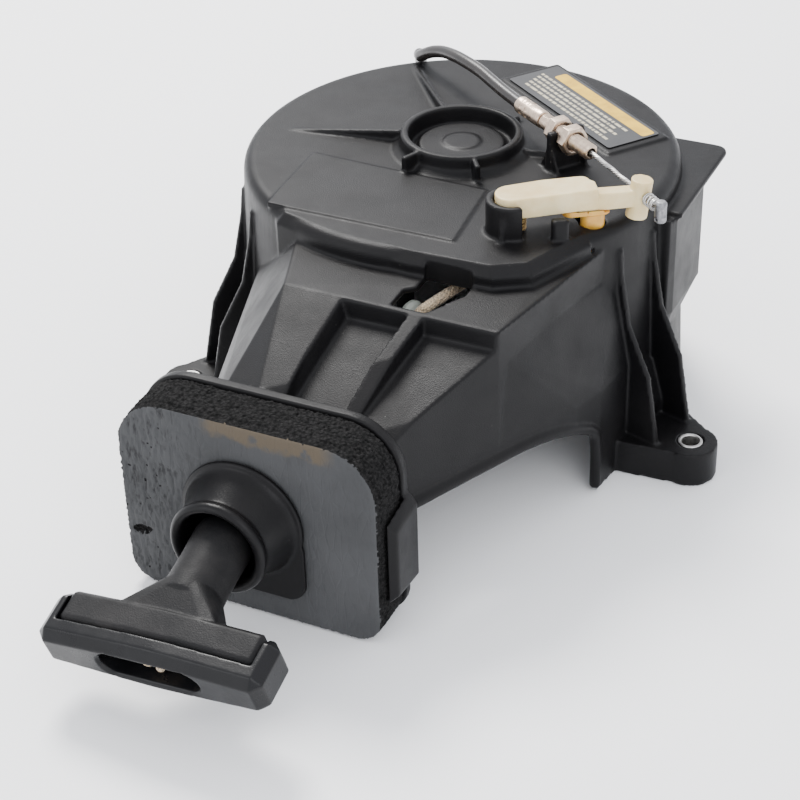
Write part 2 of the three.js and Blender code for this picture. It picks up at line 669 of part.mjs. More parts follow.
function drive() {
  node('sheave_drum', sheave(), paint(0x3a3a3c, 0.5));
  node('rope_winding', ropeWinding(), ROPE);
  node('sheave_bush', sheaveBush(), BRASS);
  node('rewind_spring', rewindSpring(), STEEL);
  pawlHardware();
  node('cam_plate', camPlate(), STEEL);
  node('friction_spring', spring(12, 1.2, 2.4, 1.5).translate([0, 0, 92.7]), STEEL);
  node('thrust_washer', turned([[BOLT_R + 0.4, 90.2], [17, 90.2], [17, 91.7], [BOLT_R + 0.4, 91.7]],
    24), STEEL);
  node('centre_bolt', centreBolt(), STEEL);
  const [rr, half] = [ROLLER.r, ROLLER.half];
  const wheel = turned([[2.5, -half], [rr, -half], [rr, half], [2.5, half]], 28);
  node('guide_roller', rollerAxis(wheel), WHITE_NYLON);
  node('roller_pin', rollerAxis(post(0, 0, -half - 5, half + 5, 2, 2, 16)), STEEL);
}

// ---------------------------------------------------------------- handle and rope
// Handle frame: Z outwards along the neck, X along the crossbar, Y up; origin at the neck's inner end.
const NECK_END = [ROPE_OUT_X, -231, ROPE_OUT_Z + 1.3];
const handlePlace = (body) => turn(turn(body, 0, 0, HANDLE_ROLL), 90 + HANDLE_SAG, 0, 0)
  .translate(NECK_END);
const handlePoint = (z) => [NECK_END[0], NECK_END[1] - z * Math.cos(rad(HANDLE_SAG)),
  NECK_END[2] - z * Math.sin(rad(HANDLE_SAG))];
const GRIP_HALF = 47;
const FRAME_BACK = 66;
const SLOT = [48, 13.4];
const KNOT_FLOOR = 59.2;         // seat of the knot's washer, along the handle

// Crossbar cross-sections grow towards the middle.
function crossbar(half, endY, midY, z0, z1, edge) {
  const points = [];
  for (const side of [-1, 1]) {
    for (const y of [-1, 1]) {
      points.push([side * half, y * (endY - edge), z0 + edge], [side * half, y * (endY - edge), z1 - edge]);
      points.push([side * (half - edge), y * endY, z0 + edge], [side * (half - edge), y * endY, z1 - edge]);
      points.push([side * (half - edge), y * (endY - edge), z0]);
      points.push([side * (half - edge), y * (endY - edge), z1]);
      points.push([side * 18, y * midY, z0 + edge], [side * 18, y * midY, z1 - edge]);
      points.push([side * 18, y * (midY - edge), z0], [side * 18, y * (midY - edge), z1]);
    }
  }
  return hull(points);
}

function handleFrame() {
  const block = crossbar(HANDLE_HALF, 10.6, 13, 51, 76, 2.6);
  const room = box(-GRIP_HALF - GAP, GRIP_HALF + GAP, -20, 20, 40, FRAME_BACK + GAP);
  const slot = prism(roundedRect(SLOT[0], SLOT[1], 6.6), 60, 80, 6);
  return handlePlace(cut(block, [room, slot]));
}

function handleGrip() {
  const neck = turned([[0, 0], [9.5, 0], [12.4, 2.6], [13.5, 8], [13.3, 30], [13.8, 40], [0, 46]], 20);
  const points = [];
  for (let i = 0; i < 20; i++) {
    const [x, y] = polar(13.2, i * 18);
    points.push([x, y, 32]);
  }
  for (const sx of [-1, 1]) {
    for (const sy of [-1, 1]) points.push([sx * 25, sy * 10.5, 53.5], [sx * 20, sy * 11.5, 56]);
  }
  const bar2 = crossbar(GRIP_HALF, 10.8, 12.8, 50.5, FRAME_BACK, 2);
  const chamber = prism(roundedRect(SLOT[0], SLOT[1] + 2, 7), KNOT_FLOOR, 70, 5);
  const body = cut(join([neck, hull(points), bar2]), [chamber, post(0, 0, -2, 62, 3.4, 3.4, 20)]);
  return handlePlace(body);
}

function handle() {
  node('handle_frame', handleFrame(), HANDLE_PLASTIC);
  node('handle_grip', handleGrip(), GRIP_RUBBER);
  const seat = KNOT_FLOOR + GAP;
  node('knot_washer', handlePlace(turned([[3.4, seat], [5.8, seat], [5.8, seat + 1.2],
    [3.4, seat + 1.2]], 24)), STEEL);
  const knot = new THREE.SphereGeometry(5.6, 10, 8);
  node('rope_knot', handlePlace(solid(move(knot, 0, 0, KNOT_FLOOR + 7.5))), ROPE);
  const line = [[ROPE_OUT_X, -198, ROPE_OUT_Z], [ROPE_OUT_X, -212, ROPE_OUT_Z + 0.6],
    handlePoint(-8), handlePoint(-2), handlePoint(10), handlePoint(30), handlePoint(KNOT_FLOOR + 1.6)];
  node('rope_span', bar(line, ROPE_D, 12, 8), ROPE);
}

function ropeRun() {
  const [rx, ry] = ROLLER.at;
  const lift = ROLLER.z + ROLLER.r + ROPE_D / 2 + GAP + 0.1;
  const tangent = -14;
  const [tx, ty] = polar(ROPE_R, tangent);
  const [ux, uy] = [-Math.sin(rad(-tangent)), -Math.cos(rad(-tangent))];
  const start = [tx + ux * 27, ty + uy * 27, ROPE_Z];
  const line = [start, [tx + ux * 60, ty + uy * 60, ROPE_Z], [rx + 0.6, ry + 4, lift + 0.1],
    [rx - 1.2, ry - 2, lift - 0.2], [rx - 3.6, ry - 6.6, lift - 2.2],
    [rx - 16, ry - 30, lift - 19.5], [ROPE_OUT_X + 3.2, -181, ROPE_OUT_Z + 5],
    [ROPE_OUT_X + 0.2, -188.5, ROPE_OUT_Z + 0.6], [ROPE_OUT_X, -197.6, ROPE_OUT_Z]];
  return bar(line, ROPE_D, 22, 8);
}

// ---------------------------------------------------------------- interlock lever
const leverTurn = Math.atan2(LEVER_BOSS[1] - LEVER_PIVOT[1], LEVER_BOSS[0] - LEVER_PIVOT[0]);
const LEVER_DEG = (leverTurn * 180) / Math.PI;
const LEVER_REACH = Math.hypot(LEVER_BOSS[0] - LEVER_PIVOT[0], LEVER_BOSS[1] - LEVER_PIVOT[1]);
const WIRE_DROP = 4.2 / 55;      // the bare wire falls a little towards the nipple
const BOSS_AT = Math.hypot(LEVER_BOSS[0] - CABLE_END[0], LEVER_BOSS[1] - CABLE_END[1]);
const TIP_AT = Math.hypot(CABLE_TIP[0] - CABLE_END[0], CABLE_TIP[1] - CABLE_END[1]);
const wirePoint = (d) => {
  const [x, y, z] = alongCable(d);
  return [x, y, z - Math.max(0, d - TIP_AT) * WIRE_DROP];
};
const wireHeading = () => {
  const [a, b] = [wirePoint(TIP_AT + 1), wirePoint(TIP_AT + 2)];
  return [b[0] - a[0], b[1] - a[1], b[2] - a[2]];
};
const NIPPLE_AT = BOSS_AT + 16;

function interlockLever() {
  const pad = new THREE.Shape();
  pad.absarc(0, 0, 7.6, rad(100), rad(285), false);
  pad.lineTo(12, -6.8);
  pad.lineTo(39, -4.6);
  pad.lineTo(39, 4);
  pad.absarc(33, 6.2, 4, 0, Math.PI / 2, false);
  pad.lineTo(15, 9.8);
  const top = LEVER_TOP;
  const bottom = LEVER_TOP - LEVER_T;
  const body = join([prism(pad, bottom, top, 8), box(30, LEVER_REACH, -4, 4, 135.6, 143.8),
    post(LEVER_REACH, 0, 129.2, 148, 5, 5, 24)]);
  const placed = turn(body, 0, 0, LEVER_DEG).translate([...LEVER_PIVOT, 0]);
  const pinHole = post(...LEVER_PIVOT, 130, 143.8, PIN_R + GAP, PIN_R + GAP, 16);
  const wireHole = aim(post(0, 0, -12, 12, 1.7, 1.7, 14), wirePoint(BOSS_AT), wireHeading());
  return cut(placed, [pinHole, wireHole]);
}

function stopper() {
  const foot = prism(roundedRect(22, 11, 4), 134, LEVER_TOP - LEVER_T - GAP, 5).translate([34, 0.2, 0]);
  const [dx, dy] = [TONGUE_POINT[0] - LEVER_PIVOT[0], TONGUE_POINT[1] - LEVER_PIVOT[1]];
  const reach = Math.hypot(dx, dy);
  const [w, d] = TONGUE_HALF;
  const trimmed = foot.subtract(box(29, 60, -5, 5, 135.2, 140));
  const tongue = prism(roundedRect(2 * w, 2 * d, 3), 110, 135.2, 5).translate([reach, 0, 0]);
  return turn(join([trimmed, tongue]), 0, 0, LEVER_DEG).translate([...LEVER_PIVOT, 0]);
}

function interlock() {
  node('interlock_lever', interlockLever(), NYLON);
  node('stopper', stopper(), AMBER);
  const [px, py] = LEVER_PIVOT;
  node('lever_pin', join([post(px, py, 121.6, 143.4, PIN_R, PIN_R, 16),
    post(px, py, 121.6, 124.4, 4.2, 4.2, 20)]), STEEL);
  node('lever_spring', spring(6.3, 1.1, 5.4, 4).translate([px, py, 129.4]), BRASS);
  node('inner_wire', bar([wirePoint(58), wirePoint(TIP_AT), wirePoint(BOSS_AT),
    wirePoint(NIPPLE_AT - 3.2)], 2.4, 8), STEEL);
  node('nipple_spring', aim(spring(2.7, 0.9, 6.4, 3.5), wirePoint(BOSS_AT + 5.8), wireHeading()), STEEL);
  const [nx, ny, nz] = wirePoint(NIPPLE_AT);
  node('wire_nipple', turned([[0, -6.4], [2.2, -6.4], [2.8, -5.8], [2.8, 3], [2, 4], [0, 4.3]], 20)
    .translate([nx, ny, nz]), LEAD);
}

// ---------------------------------------------------------------- Bowden cable
const NUT_R = 7.5;               // M8 nut, across its corners
function nut(d0, d1) {
  const hex = new THREE.CylinderGeometry(NUT_R, NUT_R, d1 - d0, 6);
  hex.rotateX(Math.PI / 2);
  const ring = solid(hex).subtract(post(0, 0, -10, 10, ADJUSTER_R + GAP, ADJUSTER_R + GAP, 20));
  return aim(ring, alongCable((d0 + d1) / 2), cableDirection());
}

function cableTube(profile, d0) {
  return aim(turned(profile, 18), alongCable(d0), cableDirection());
}

const COIL = { at: [-78, 150], r: 25, half: 10.2 };
const SHEATH_ROUTE = [[21.17, 23.72, 144], [9.6, 32.6, 144.2], [-1.2, 41.2, 144.8],
  [-11.3, 49.4, 145.2], [-21.4, 56.4, 145.2], [-31, 63.1, 144.4], [-40.6, 69.8, 142.3],
  [-48.4, 74.3, 139.3], [-54.3, 77.6, 135.8], [-58.8, 80.8, 132.6], [-61.6, 85.6, 131.1],
  [-63.6, 91, 127.6], [-66, 96.5, 120], [-70.5, 102, 106], [-80, 108, 84], [-90, 112, 62],
  [-98, 115, 42], [-105, 118.5, 22], [-110, 123.5, 8.6], [-111.5, 129, 3.6]];
const TAIL_ROUTE = [[-97, 150, 10.2], [-97.5, 164, 10.2], [-98, 184, 10], [-98, 196, 6.6],
  [-98, 206, 4.6]];

function cordNode(name, body, material) {
  cordNames.add(name);
  node(name, body, material);
}

function cable() {
  const [back, front] = FERRULE;
  node('crimp_ferrule', cableTube([[0, back], [4, back], [4.3, back + 0.6], [4.3, front - 0.8],
    [4, front], [0, front]], 0), ZINC);
  const barrel = cableTube([[0, front + GAP], [ADJUSTER_R, front + GAP], [ADJUSTER_R, TIP_AT - 0.6],
    [ADJUSTER_R - 0.6, TIP_AT], [0, TIP_AT]], 0);
  const bore = cableTube([[0, TIP_AT - 25], [2.4, TIP_AT - 25], [2.4, TIP_AT + 5], [0, TIP_AT + 5]], 0);
  node('adjuster_barrel', barrel.subtract(bore), ZINC);
  node('adjuster_nut_rear', nut(BRACKET_AT - 8.3, BRACKET_AT - 2.8), ZINC);
  node('adjuster_nut_front', nut(BRACKET_AT + 2.8, BRACKET_AT + 8.8), ZINC);
  cordNode('cable_sheath', bar(SHEATH_ROUTE, CABLE_D, 40, 8), SHEATH);
  const ring = turned([[COIL.r - COIL.half, 0.2], [COIL.r + COIL.half, 0.2],
    [COIL.r + COIL.half, 6.6], [COIL.r - COIL.half, 6.6]], 24);
  cordNode('cable_coil', ring.translate([...COIL.at, 0]), SHEATH);
  cordNode('cable_tail', bar(TAIL_ROUTE, CABLE_D, 8, 8), SHEATH);
  const end = [-98, 207.1, 4.6];
  const fitting = turned([[0, 0], [4, 0], [4.3, 0.6], [4.3, 17.4], [4, 18], [1.2, 18], [1.2, 27],
    [3.4, 27], [3.4, 32], [0, 32]], 16);
  cordNode('cable_end_fitting', aim(fitting, end, [0.04, 1, 0]), ZINC);
}

// ---------------------------------------------------------------- the assembly
node('housing', housing(), PLASTIC);
collars();
node('foam_seal', foamSeal(), FOAM);
node('rope_guide', ropeGuide(), HANDLE_PLASTIC);
node('guide_clip', guideClip(), STEEL);
node('label_plate', labelPlate(), LABEL);
drive();
node('rope_run', ropeRun(), ROPE);
handle();
interlock();
cable();

// The origin goes to the middle of the footprint of everything but the loose cable.
const frameBox = new THREE.Box3();
for (const mesh of starter.children) {
  if (!cordNames.has(mesh.name)) frameBox.expandByObject(mesh, true);
}
const middle = frameBox.getCenter(new THREE.Vector3());
starter.position.set(-middle.x, -middle.y, 0);
starter.updateMatrixWorld(true);

export default starter;
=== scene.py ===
"""Recoil starter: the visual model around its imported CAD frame."""

import math

import bmesh
import bpy
from mathutils import Matrix, Vector, noise


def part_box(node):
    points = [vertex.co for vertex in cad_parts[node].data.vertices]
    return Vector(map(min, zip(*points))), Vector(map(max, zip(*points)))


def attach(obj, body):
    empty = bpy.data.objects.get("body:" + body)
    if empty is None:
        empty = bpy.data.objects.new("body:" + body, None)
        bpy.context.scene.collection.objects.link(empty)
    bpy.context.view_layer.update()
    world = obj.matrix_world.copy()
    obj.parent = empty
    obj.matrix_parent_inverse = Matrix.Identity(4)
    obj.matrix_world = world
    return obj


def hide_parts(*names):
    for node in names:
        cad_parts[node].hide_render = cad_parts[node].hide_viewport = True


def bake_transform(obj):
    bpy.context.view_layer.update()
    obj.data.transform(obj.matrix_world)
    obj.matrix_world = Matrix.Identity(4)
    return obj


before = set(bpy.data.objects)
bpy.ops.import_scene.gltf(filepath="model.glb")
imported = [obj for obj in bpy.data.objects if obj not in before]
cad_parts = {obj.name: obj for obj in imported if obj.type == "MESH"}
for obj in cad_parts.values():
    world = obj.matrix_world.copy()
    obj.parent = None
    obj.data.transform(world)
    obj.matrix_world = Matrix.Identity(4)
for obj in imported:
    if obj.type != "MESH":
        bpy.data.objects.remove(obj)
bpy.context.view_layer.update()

# ---------------------------------------------------------------- driving dimensions
# Shapes are drawn in millimetres about the drum's axis, with Z = 0 under the feet.
MM = 0.001
low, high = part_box("sheave_bush")
DRUM_AXIS = Vector(((low.x + high.x) / 2, (low.y + high.y) / 2, 0))

VOXEL = 0.8     # housing's surface step
FINE_VOXEL = 0.55
LEVER_VOXEL = 0.38
STOPPER_VOXEL = 0.38
SIDES = 144                             # of the housing's round bodies
EDGE_DEG = 35                           # sharper edges than this stay crisp
ROUND_DEG = 50                          # the same on tubes and threads

COVER_R = 107
SKIRT_R = 112.5
COVER_TOP = 128
COVER_EDGE = 5.8
WALL = 3
LEDGE_Z = 118
LEDGE_Y = -135
SPOUT_DROP = 9
SPOUT_FLOOR_Z = 50
SPOUT_FRONT_Z = 98
FLANGE_Y = -190
FLANGE_T = 5
FLANGE_X = (-70, 57)
FLANGE_Z = (0.6, 100)
FOAM_T = 25
FOOT_R = 13.2
FOOT_T = 17.6
FOOT_OFFSET = 143.5
FOOT_ANGLES = {"right": -17.5, "left": 217.6, "rear": 98}
HUB_R = 29.9
HUB_TOP = 137
ROPE_D = 5
ROPE_R = 60
ROPE_Z = 108
ROPE_OUT = (-7.5, 52)
HANDLE_SAG = 17
HANDLE_ROLL = 5.5
HANDLE_HALF = 54
GRIP_HALF = 47
SLOT = (48, 13.4)
KNOT_FLOOR = 59.2
NECK_END = Vector((ROPE_OUT[0], -231, ROPE_OUT[1] + 1.3))
PIVOT = Vector((54, -68, 0))
BOSS = Vector((103.5, -36, 0))
TONGUE = Vector((85, -47, 0))
TONGUE_HALF = (5.4, 4)
SWING = 14
LEVER_TOP = 147
LEVER_T = 10
CABLE_Z = 144
CABLE_END = Vector((18, 26, CABLE_Z))
CABLE_TIP = Vector((71.5, -12.5, CABLE_Z))
CABLE_D = 6.4
ADJUSTER_R = 4
BRACKET_AT = 44
FERRULE = (4.2, 25.2)
ROLLER = {"at": (33.5, -112, 97), "r": 8, "half": 14, "deg": -16}
LABEL = {"at": (39.5, 61.5), "size": (101, 35), "deg": -36.5}


def polar(r, deg):
    return r * math.cos(math.radians(deg)), r * math.sin(math.radians(deg))


# ---------------------------------------------------------------- mesh helpers
def linked(name, data):
    obj = bpy.data.objects.new(name, data)
    bpy.context.scene.collection.objects.link(obj)
    return obj


def new_object(name, bm):
    bmesh.ops.recalc_face_normals(bm, faces=bm.faces)
    mesh = bpy.data.meshes.new(name)
    bm.to_mesh(mesh)
    bm.free()
    return linked(name, mesh)


def rotation(deg, axis):
    return Matrix.Rotation(math.radians(deg), 4, axis)


def place(obj, turn=(0, 0, 0), at=(0, 0, 0)):
    """Turns a drawn piece about X, then Y, then Z, in degrees, and moves it."""
    matrix = Matrix.Translation(at)
    for angle, axis in reversed(list(zip(turn, "XYZ"))):
        matrix = matrix @ rotation(angle, axis)
    obj.data.transform(matrix)
    return obj


def aim(obj, start, direction):
    """Turns a piece's Z axis to a direction and moves its origin to a point."""
    turn = Vector(direction).to_track_quat("Z", "Y").to_matrix().to_4x4()
    obj.data.transform(Matrix.Translation(start) @ turn)
    return obj


def hull(points):
    bm = bmesh.new()
    for p in points:
        bm.verts.new(p)
    made = bmesh.ops.convex_hull(bm, input=bm.verts)
    spare = {g for g in made["geom_interior"] + made["geom_unused"] if isinstance(g, bmesh.types.BMVert)}
    bmesh.ops.delete(bm, geom=list(spare), context="VERTS")
    return new_object("hull", bm)


def box(x0, x1, y0, y1, z0, z1):
    return hull([(x, y, z) for x in (x0, x1) for y in (y0, y1) for z in (z0, z1)])


def post(x, y, z0, z1, r0, r1=None, sides=48):
    bm = bmesh.new()
    bmesh.ops.create_cone(bm, cap_ends=True, segments=sides, radius1=r0, radius2=r0 if r1 is None else r1,
                          depth=z1 - z0, matrix=Matrix.Translation((x, y, (z0 + z1) / 2)))
    return new_object("post", bm)


def turned(profile, sides=SIDES):
    """Body of revolution about Z; a profile off the axis closes on itself."""
    bm = bmesh.new()
    rings = []
    for r, z in profile:
        if r == 0:
            rings.append([bm.verts.new((0, 0, z))] * sides)
        else:
            rings.append([bm.verts.new((*[r * f(2 * math.pi * i / sides) for f in (math.cos, math.sin)], z))
                          for i in range(sides)])
    closed = profile[0][0] > 0
    pairs = list(zip(rings, rings[1:] + rings[:1] if closed else rings[1:]))
    for a, b in pairs:
        for i in range(sides):
            j = (i + 1) % sides
            corners = list(dict.fromkeys((a[i], a[j], b[j], b[i])))
            if len(corners) > 2:
                bm.faces.new(corners)
    return new_object("turned", bm)


def loft(name, sections):
    """Closed skin over rings of points that all have the same count."""
    bm = bmesh.new()
    rings = [[bm.verts.new(p) for p in section] for section in sections]
    count = len(rings[0])
    for a, b in zip(rings, rings[1:]):
        for i in range(count):
            j = (i + 1) % count
            bm.faces.new((a[i], a[j], b[j], b[i]))
    bm.faces.new(rings[0][::-1])
    bm.faces.new(rings[-1])
    return new_object(name, bm)


def prism(outline, z0, z1):
    return loft("prism", [[(x, y, z) for x, y in outline] for z in (z0, z1)])


def arc(cx, cy, r, deg0, deg1, steps=12):
    corners = (polar(r, deg0 + (deg1 - deg0) * i / steps) for i in range(steps + 1))
    return [(cx + x, cy + y) for x, y in corners]


def rounded_rect(w, h, r, steps=10):
    x, y = w / 2 - r, h / 2 - r
    return (arc(x, -y, r, -90, 0, steps) + arc(x, y, r, 0, 90, steps)
            + arc(-x, y, r, 90, 180, steps) + arc(-x, -y, r, 180, 270, steps))


def standing(outline, y0, y1):
    """Pushes an outline drawn in X and Z along Y."""
    return place(prism(outline, -y1, -y0), (90, 0, 0))


def evaluated(obj):
    """Applies the object's modifiers to its mesh."""
    graph = bpy.context.evaluated_depsgraph_get()
    mesh = bpy.data.meshes.new_from_object(obj.evaluated_get(graph))
    old = obj.data
    obj.modifiers.clear()
    obj.data = mesh
    bpy.data.meshes.remove(old)
    return obj


def boolean(obj, others, operation):
    for other in others:
        modifier = obj.modifiers.new("boolean", "BOOLEAN")
        modifier.operation = operation
        modifier.solver = "MANIFOLD"
        modifier.object = other
        evaluated(obj)
        bpy.data.objects.remove(other)
    return obj


def join(parts):
    return boolean(parts[0], parts[1:], "UNION")


def cut(obj, others):
    return boolean(obj, others, "DIFFERENCE")


def moulded(obj, voxel, passes):
    """Remeshes a solid and smooths it, so its edges come out as moulded radii."""
    remesh = obj.modifiers.new("remesh", "REMESH")
    remesh.mode = "VOXEL"
    remesh.voxel_size = voxel
    remesh.use_smooth_shade = True
    smooth = obj.modifiers.new("smooth", "SMOOTH")
    smooth.factor = 0.5
    smooth.iterations = passes
    return evaluated(obj)


def smooth_shaded(obj, deg=EDGE_DEG):
    obj.data.shade_smooth()
    obj.data.set_sharp_from_angle(angle=math.radians(deg))
    return obj


def bevelled(obj, width):
    modifier = obj.modifiers.new("bevel", "BEVEL")
    modifier.width = width
    modifier.segments = 2
    modifier.limit_method = "ANGLE"
    modifier.angle_limit = math.radians(EDGE_DEG)
    return smooth_shaded(evaluated(obj))


def spline(points, steps, tension=0.5):
    """Points of a Catmull-Rom line through the given ones."""
    p = [Vector(q) for q in points]
    p = [2 * p[0] - p[1], *p, 2 * p[-1] - p[-2]]
    spans = len(points) - 1
    line = []
    for i in range(steps + 1):
        s = min(i * spans / steps, spans - 1e-6)
        k, t = int(s), s - int(s)
        a, b, c, d = p[k:k + 4]
        m0, m1 = (c - a) * tension, (d - b) * tension
        line.append(b * (2 * t**3 - 3 * t**2 + 1) + m0 * (t**3 - 2 * t**2 + t)
                    + c * (3 * t**2 - 2 * t**3) + m1 * (t**3 - t**2))
    return line


def tube(line, r, sides=16):
    """Round bar along a line, with flat ends."""
    line = [Vector(p) for p in line]
    normal = (line[1] - line[0]).orthogonal().normalized()
    rings = []
    for i, p in enumerate(line):
        ahead = (line[min(i + 1, len(line) - 1)] - line[max(i - 1, 0)]).normalized()
        normal = (normal - ahead * normal.dot(ahead)).normalized()
        side = ahead.cross(normal)
        rings.append([p + (normal * math.cos(a) + side * math.sin(a)) * r
                      for a in (2 * math.pi * j / sides for j in range(sides))])
    return smooth_shaded(loft("tube", rings), ROUND_DEG)


def piece(obj, name, material, body, *nodes, slot=None):
    """Names a finished piece, scales it to metres in the row frame, and puts it on its body."""
    obj.name = obj.data.name = name
    obj.data.transform(Matrix.Translation(DRUM_AXIS) @ Matrix.Diagonal((MM, MM, MM, 1)))
    if material is not None:
        obj.data.materials.clear()
        obj.data.materials.append(material)
    if body:
        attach(obj, body)
    if nodes:
        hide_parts(*nodes)
    return obj


# ---------------------------------------------------------------- materials
class Nodes:
    """Short names for building one material's node tree."""

    def __init__(self, name, rough=0.5, metal=0.0, **sockets):
        self.material = bpy.data.materials.new(name)
        self.material.use_nodes = True
        self.tree = self.material.node_tree
        self.shader = self.tree.nodes["Principled BSDF"]
        self.shader.inputs["Roughness"].default_value = rough
        self.shader.inputs["Metallic"].default_value = metal
        for socket, value in sockets.items():
            self.shader.inputs[socket.replace("_", " ")].default_value = value
        self.place = self.add("ShaderNodeTexCoord").outputs["Object"]

    def add(self, kind, **values):
        node = self.tree.nodes.new(kind)
        for key, value in values.items():
            setattr(node, key, value)
        return node

    def link(self, source, target):
        if hasattr(source, "links"):
            self.tree.links.new(source, target)
        else:
            target.default_value = source

    def scaled(self, scale):
        node = self.add("ShaderNodeMapping")
        node.inputs["Scale"].default_value = scale
        self.link(self.place, node.inputs["Vector"])
        return node.outputs["Vector"]

    def noise(self, scale, detail=3, rough=0.55, vector=None):
        node = self.add("ShaderNodeTexNoise")
        node.inputs["Scale"].default_value = scale
        node.inputs["Detail"].default_value = detail
        node.inputs["Roughness"].default_value = rough
        self.link(vector or self.place, node.inputs["Vector"])
        return node.outputs["Fac"]

    def cells(self, scale, feature="F1", vector=None):
        node = self.add("ShaderNodeTexVoronoi", feature=feature)
        node.inputs["Scale"].default_value = scale
        self.link(vector or self.place, node.inputs["Vector"])
        return node.outputs["Distance"]

    def ramp(self, value, start, end, low=0.0, high=1.0):
        node = self.add("ShaderNodeMapRange")
        for socket, number in (("From Min", start), ("From Max", end), ("To Min", low), ("To Max", high)):
            node.inputs[socket].default_value = number
        self.link(value, node.inputs["Value"])
        return node.outputs["Result"]

    def math(self, operation, a, b=0.0):
        node = self.add("ShaderNodeMath", operation=operation)
        self.link(a, node.inputs[0])
        self.link(b, node.inputs[1])
        return node.outputs[0]

    def mix(self, factor, a, b):
        node = self.add("ShaderNodeMix", data_type="RGBA")
        self.link(factor, node.inputs["Factor"])
        for value, socket in ((a, node.inputs[6]), (b, node.inputs[7])):
            self.link((*value, 1) if isinstance(value, tuple) else value, socket)
        return node.outputs[2]

    def normal_part(self, axis):
        node = self.add("ShaderNodeSeparateXYZ")
        self.link(self.add("ShaderNodeNewGeometry").outputs["Normal"], node.inputs[0])
        return node.outputs[axis]

    def colour(self, value):
        self.link((*value, 1) if isinstance(value, tuple) else value, self.shader.inputs["Base Color"])
        return self

    def roughness(self, value):
        self.link(value, self.shader.inputs["Roughness"])
        return self

    def mottled(self, spread, start, end, light, dark):
        """Base colour that runs between two tones with a noise."""
        return self.colour(self.mix(self.ramp(spread, start, end), light, dark))

    def bump(self, height, distance, strength=1.0):
        node = self.add("ShaderNodeBump")
        node.inputs["Distance"].default_value = distance
        node.inputs["Strength"].default_value = strength
        self.link(height, node.inputs["Height"])
        before = self.shader.inputs["Normal"].links
        if before:
            self.link(before[0].from_socket, node.inputs["Normal"])
        self.link(node.outputs["Normal"], self.shader.inputs["Normal"])
        return self


def black_plastic(name="black_plastic", grain=1.0, rough=0.42):
    """Moulded black plastic: fine spark grain, faint haze, dust on faces that look up."""
    m = Nodes(name, rough, Specular_IOR_Level=0.15)
    haze = m.noise(14, 4, 0.6)
    dark = m.mix(m.ramp(haze, 0.35, 0.7), (0.0030, 0.0029, 0.0034), (0.0056, 0.0052, 0.0055))
    up = m.ramp(m.normal_part("Z"), 0.3, 1.0)
    dusty = m.math("MULTIPLY", up, m.ramp(m.noise(45, 6, 0.7), 0.42, 0.75, 0.0, 0.35))
    base = m.mix(dusty, dark, (0.014, 0.0125, 0.0125))
    spots = m.ramp(m.cells(260), 0.0, 0.085, 1.0, 0.0)
    chosen = m.math("MULTIPLY", spots, m.ramp(m.noise(60, 2), 0.6, 0.68))
    m.colour(m.mix(m.math("MULTIPLY", chosen, 0.5), base, (0.35, 0.34, 0.32)))
    m.roughness(m.ramp(m.noise(35, 5, 0.65), 0.3, 0.75, rough - 0.07, rough + 0.12))
    m.bump(m.noise(1900, 2, 0.5), 0.00012 * grain)
    scratches = m.noise(1.0, 3, 0.6, m.scaled((60, 900, 240)))
    return m.bump(m.ramp(scratches, 0.66, 0.74), 0.00003).material


def handle_plastic():
    m = Nodes("handle_shell", 0.3, Specular_IOR_Level=0.22)
    m.mottled(m.noise(22, 4), 0.4, 0.7, (0.0034, 0.0034, 0.0040), (0.0062, 0.0062, 0.0070))
    m.roughness(m.ramp(m.noise(60, 5, 0.7), 0.35, 0.7, 0.24, 0.42))
    return m.bump(m.noise(1500, 2), 0.00005).material


def grip_rubber():
    m = Nodes("grip_rubber", 0.55, Specular_IOR_Level=0.17)
    m.mottled(m.noise(38, 5, 0.7), 0.45, 0.75, (0.0042, 0.0042, 0.0047), (0.013, 0.0120, 0.0120))
    m.roughness(m.ramp(m.noise(70, 4), 0.3, 0.7, 0.42, 0.62))
    return m.bump(m.noise(1300, 3, 0.6), 0.00012).material


def foam_skin():
    """Closed grey face of the foam: fine creases that run down, with painted shade darkening the creases most
    towards the left end, a torn brown patch along the top edge.
    """
    m = Nodes("foam_skin", 0.78, Specular_IOR_Level=0.25)
    crease = m.noise(1.0, 7, 0.62, m.scaled((420, 300, 130)))
    lines = m.ramp(m.cells(1.0, "DISTANCE_TO_EDGE", m.scaled((230, 160, 75))), 0.0, 0.09, 0.0, 1.0)
    tone = m.mix(m.ramp(m.noise(26, 5), 0.35, 0.7), (0.040, 0.041, 0.0425), (0.056, 0.057, 0.059))
    low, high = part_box("foam_seal")
    node = m.add("ShaderNodeSeparateXYZ")
    m.link(m.place, node.inputs[0])
    # Painted shade: the crease lines are darkened in the colour, most strongly towards the foam's left end.
    shade_towards_left = m.ramp(node.outputs["X"], low.x + 0.045, low.x + 0.02, 0.12, 0.85)
    crease_shade = m.math("MULTIPLY", m.ramp(crease, 0.46, 0.36), shade_towards_left)
    tone_with_crease_shade = m.mix(crease_shade, tone, (0.014, 0.014, 0.015))
    edge = high.z - 0.0035
    near_top = m.ramp(m.math("ADD", node.outputs["Z"], m.ramp(m.noise(90, 4), 0.3, 0.7, -0.003, 0.003)),
                      edge - 0.006, edge - 0.003)
    span = m.math("MULTIPLY", m.ramp(node.outputs["X"], high.x - 0.083, high.x - 0.077),
                  m.ramp(node.outputs["X"], high.x - 0.018, high.x - 0.026))
    torn = m.math("MULTIPLY", m.math("MULTIPLY", near_top, span), m.ramp(m.noise(150, 5), 0.36, 0.46))
    m.colour(m.mix(torn, tone_with_crease_shade, (0.075, 0.060, 0.042)))
    m.bump(crease, 0.0005, 0.7)
    m.bump(lines, 0.00025, 0.45)
    return m.bump(m.noise(1500, 3), 0.00012).material


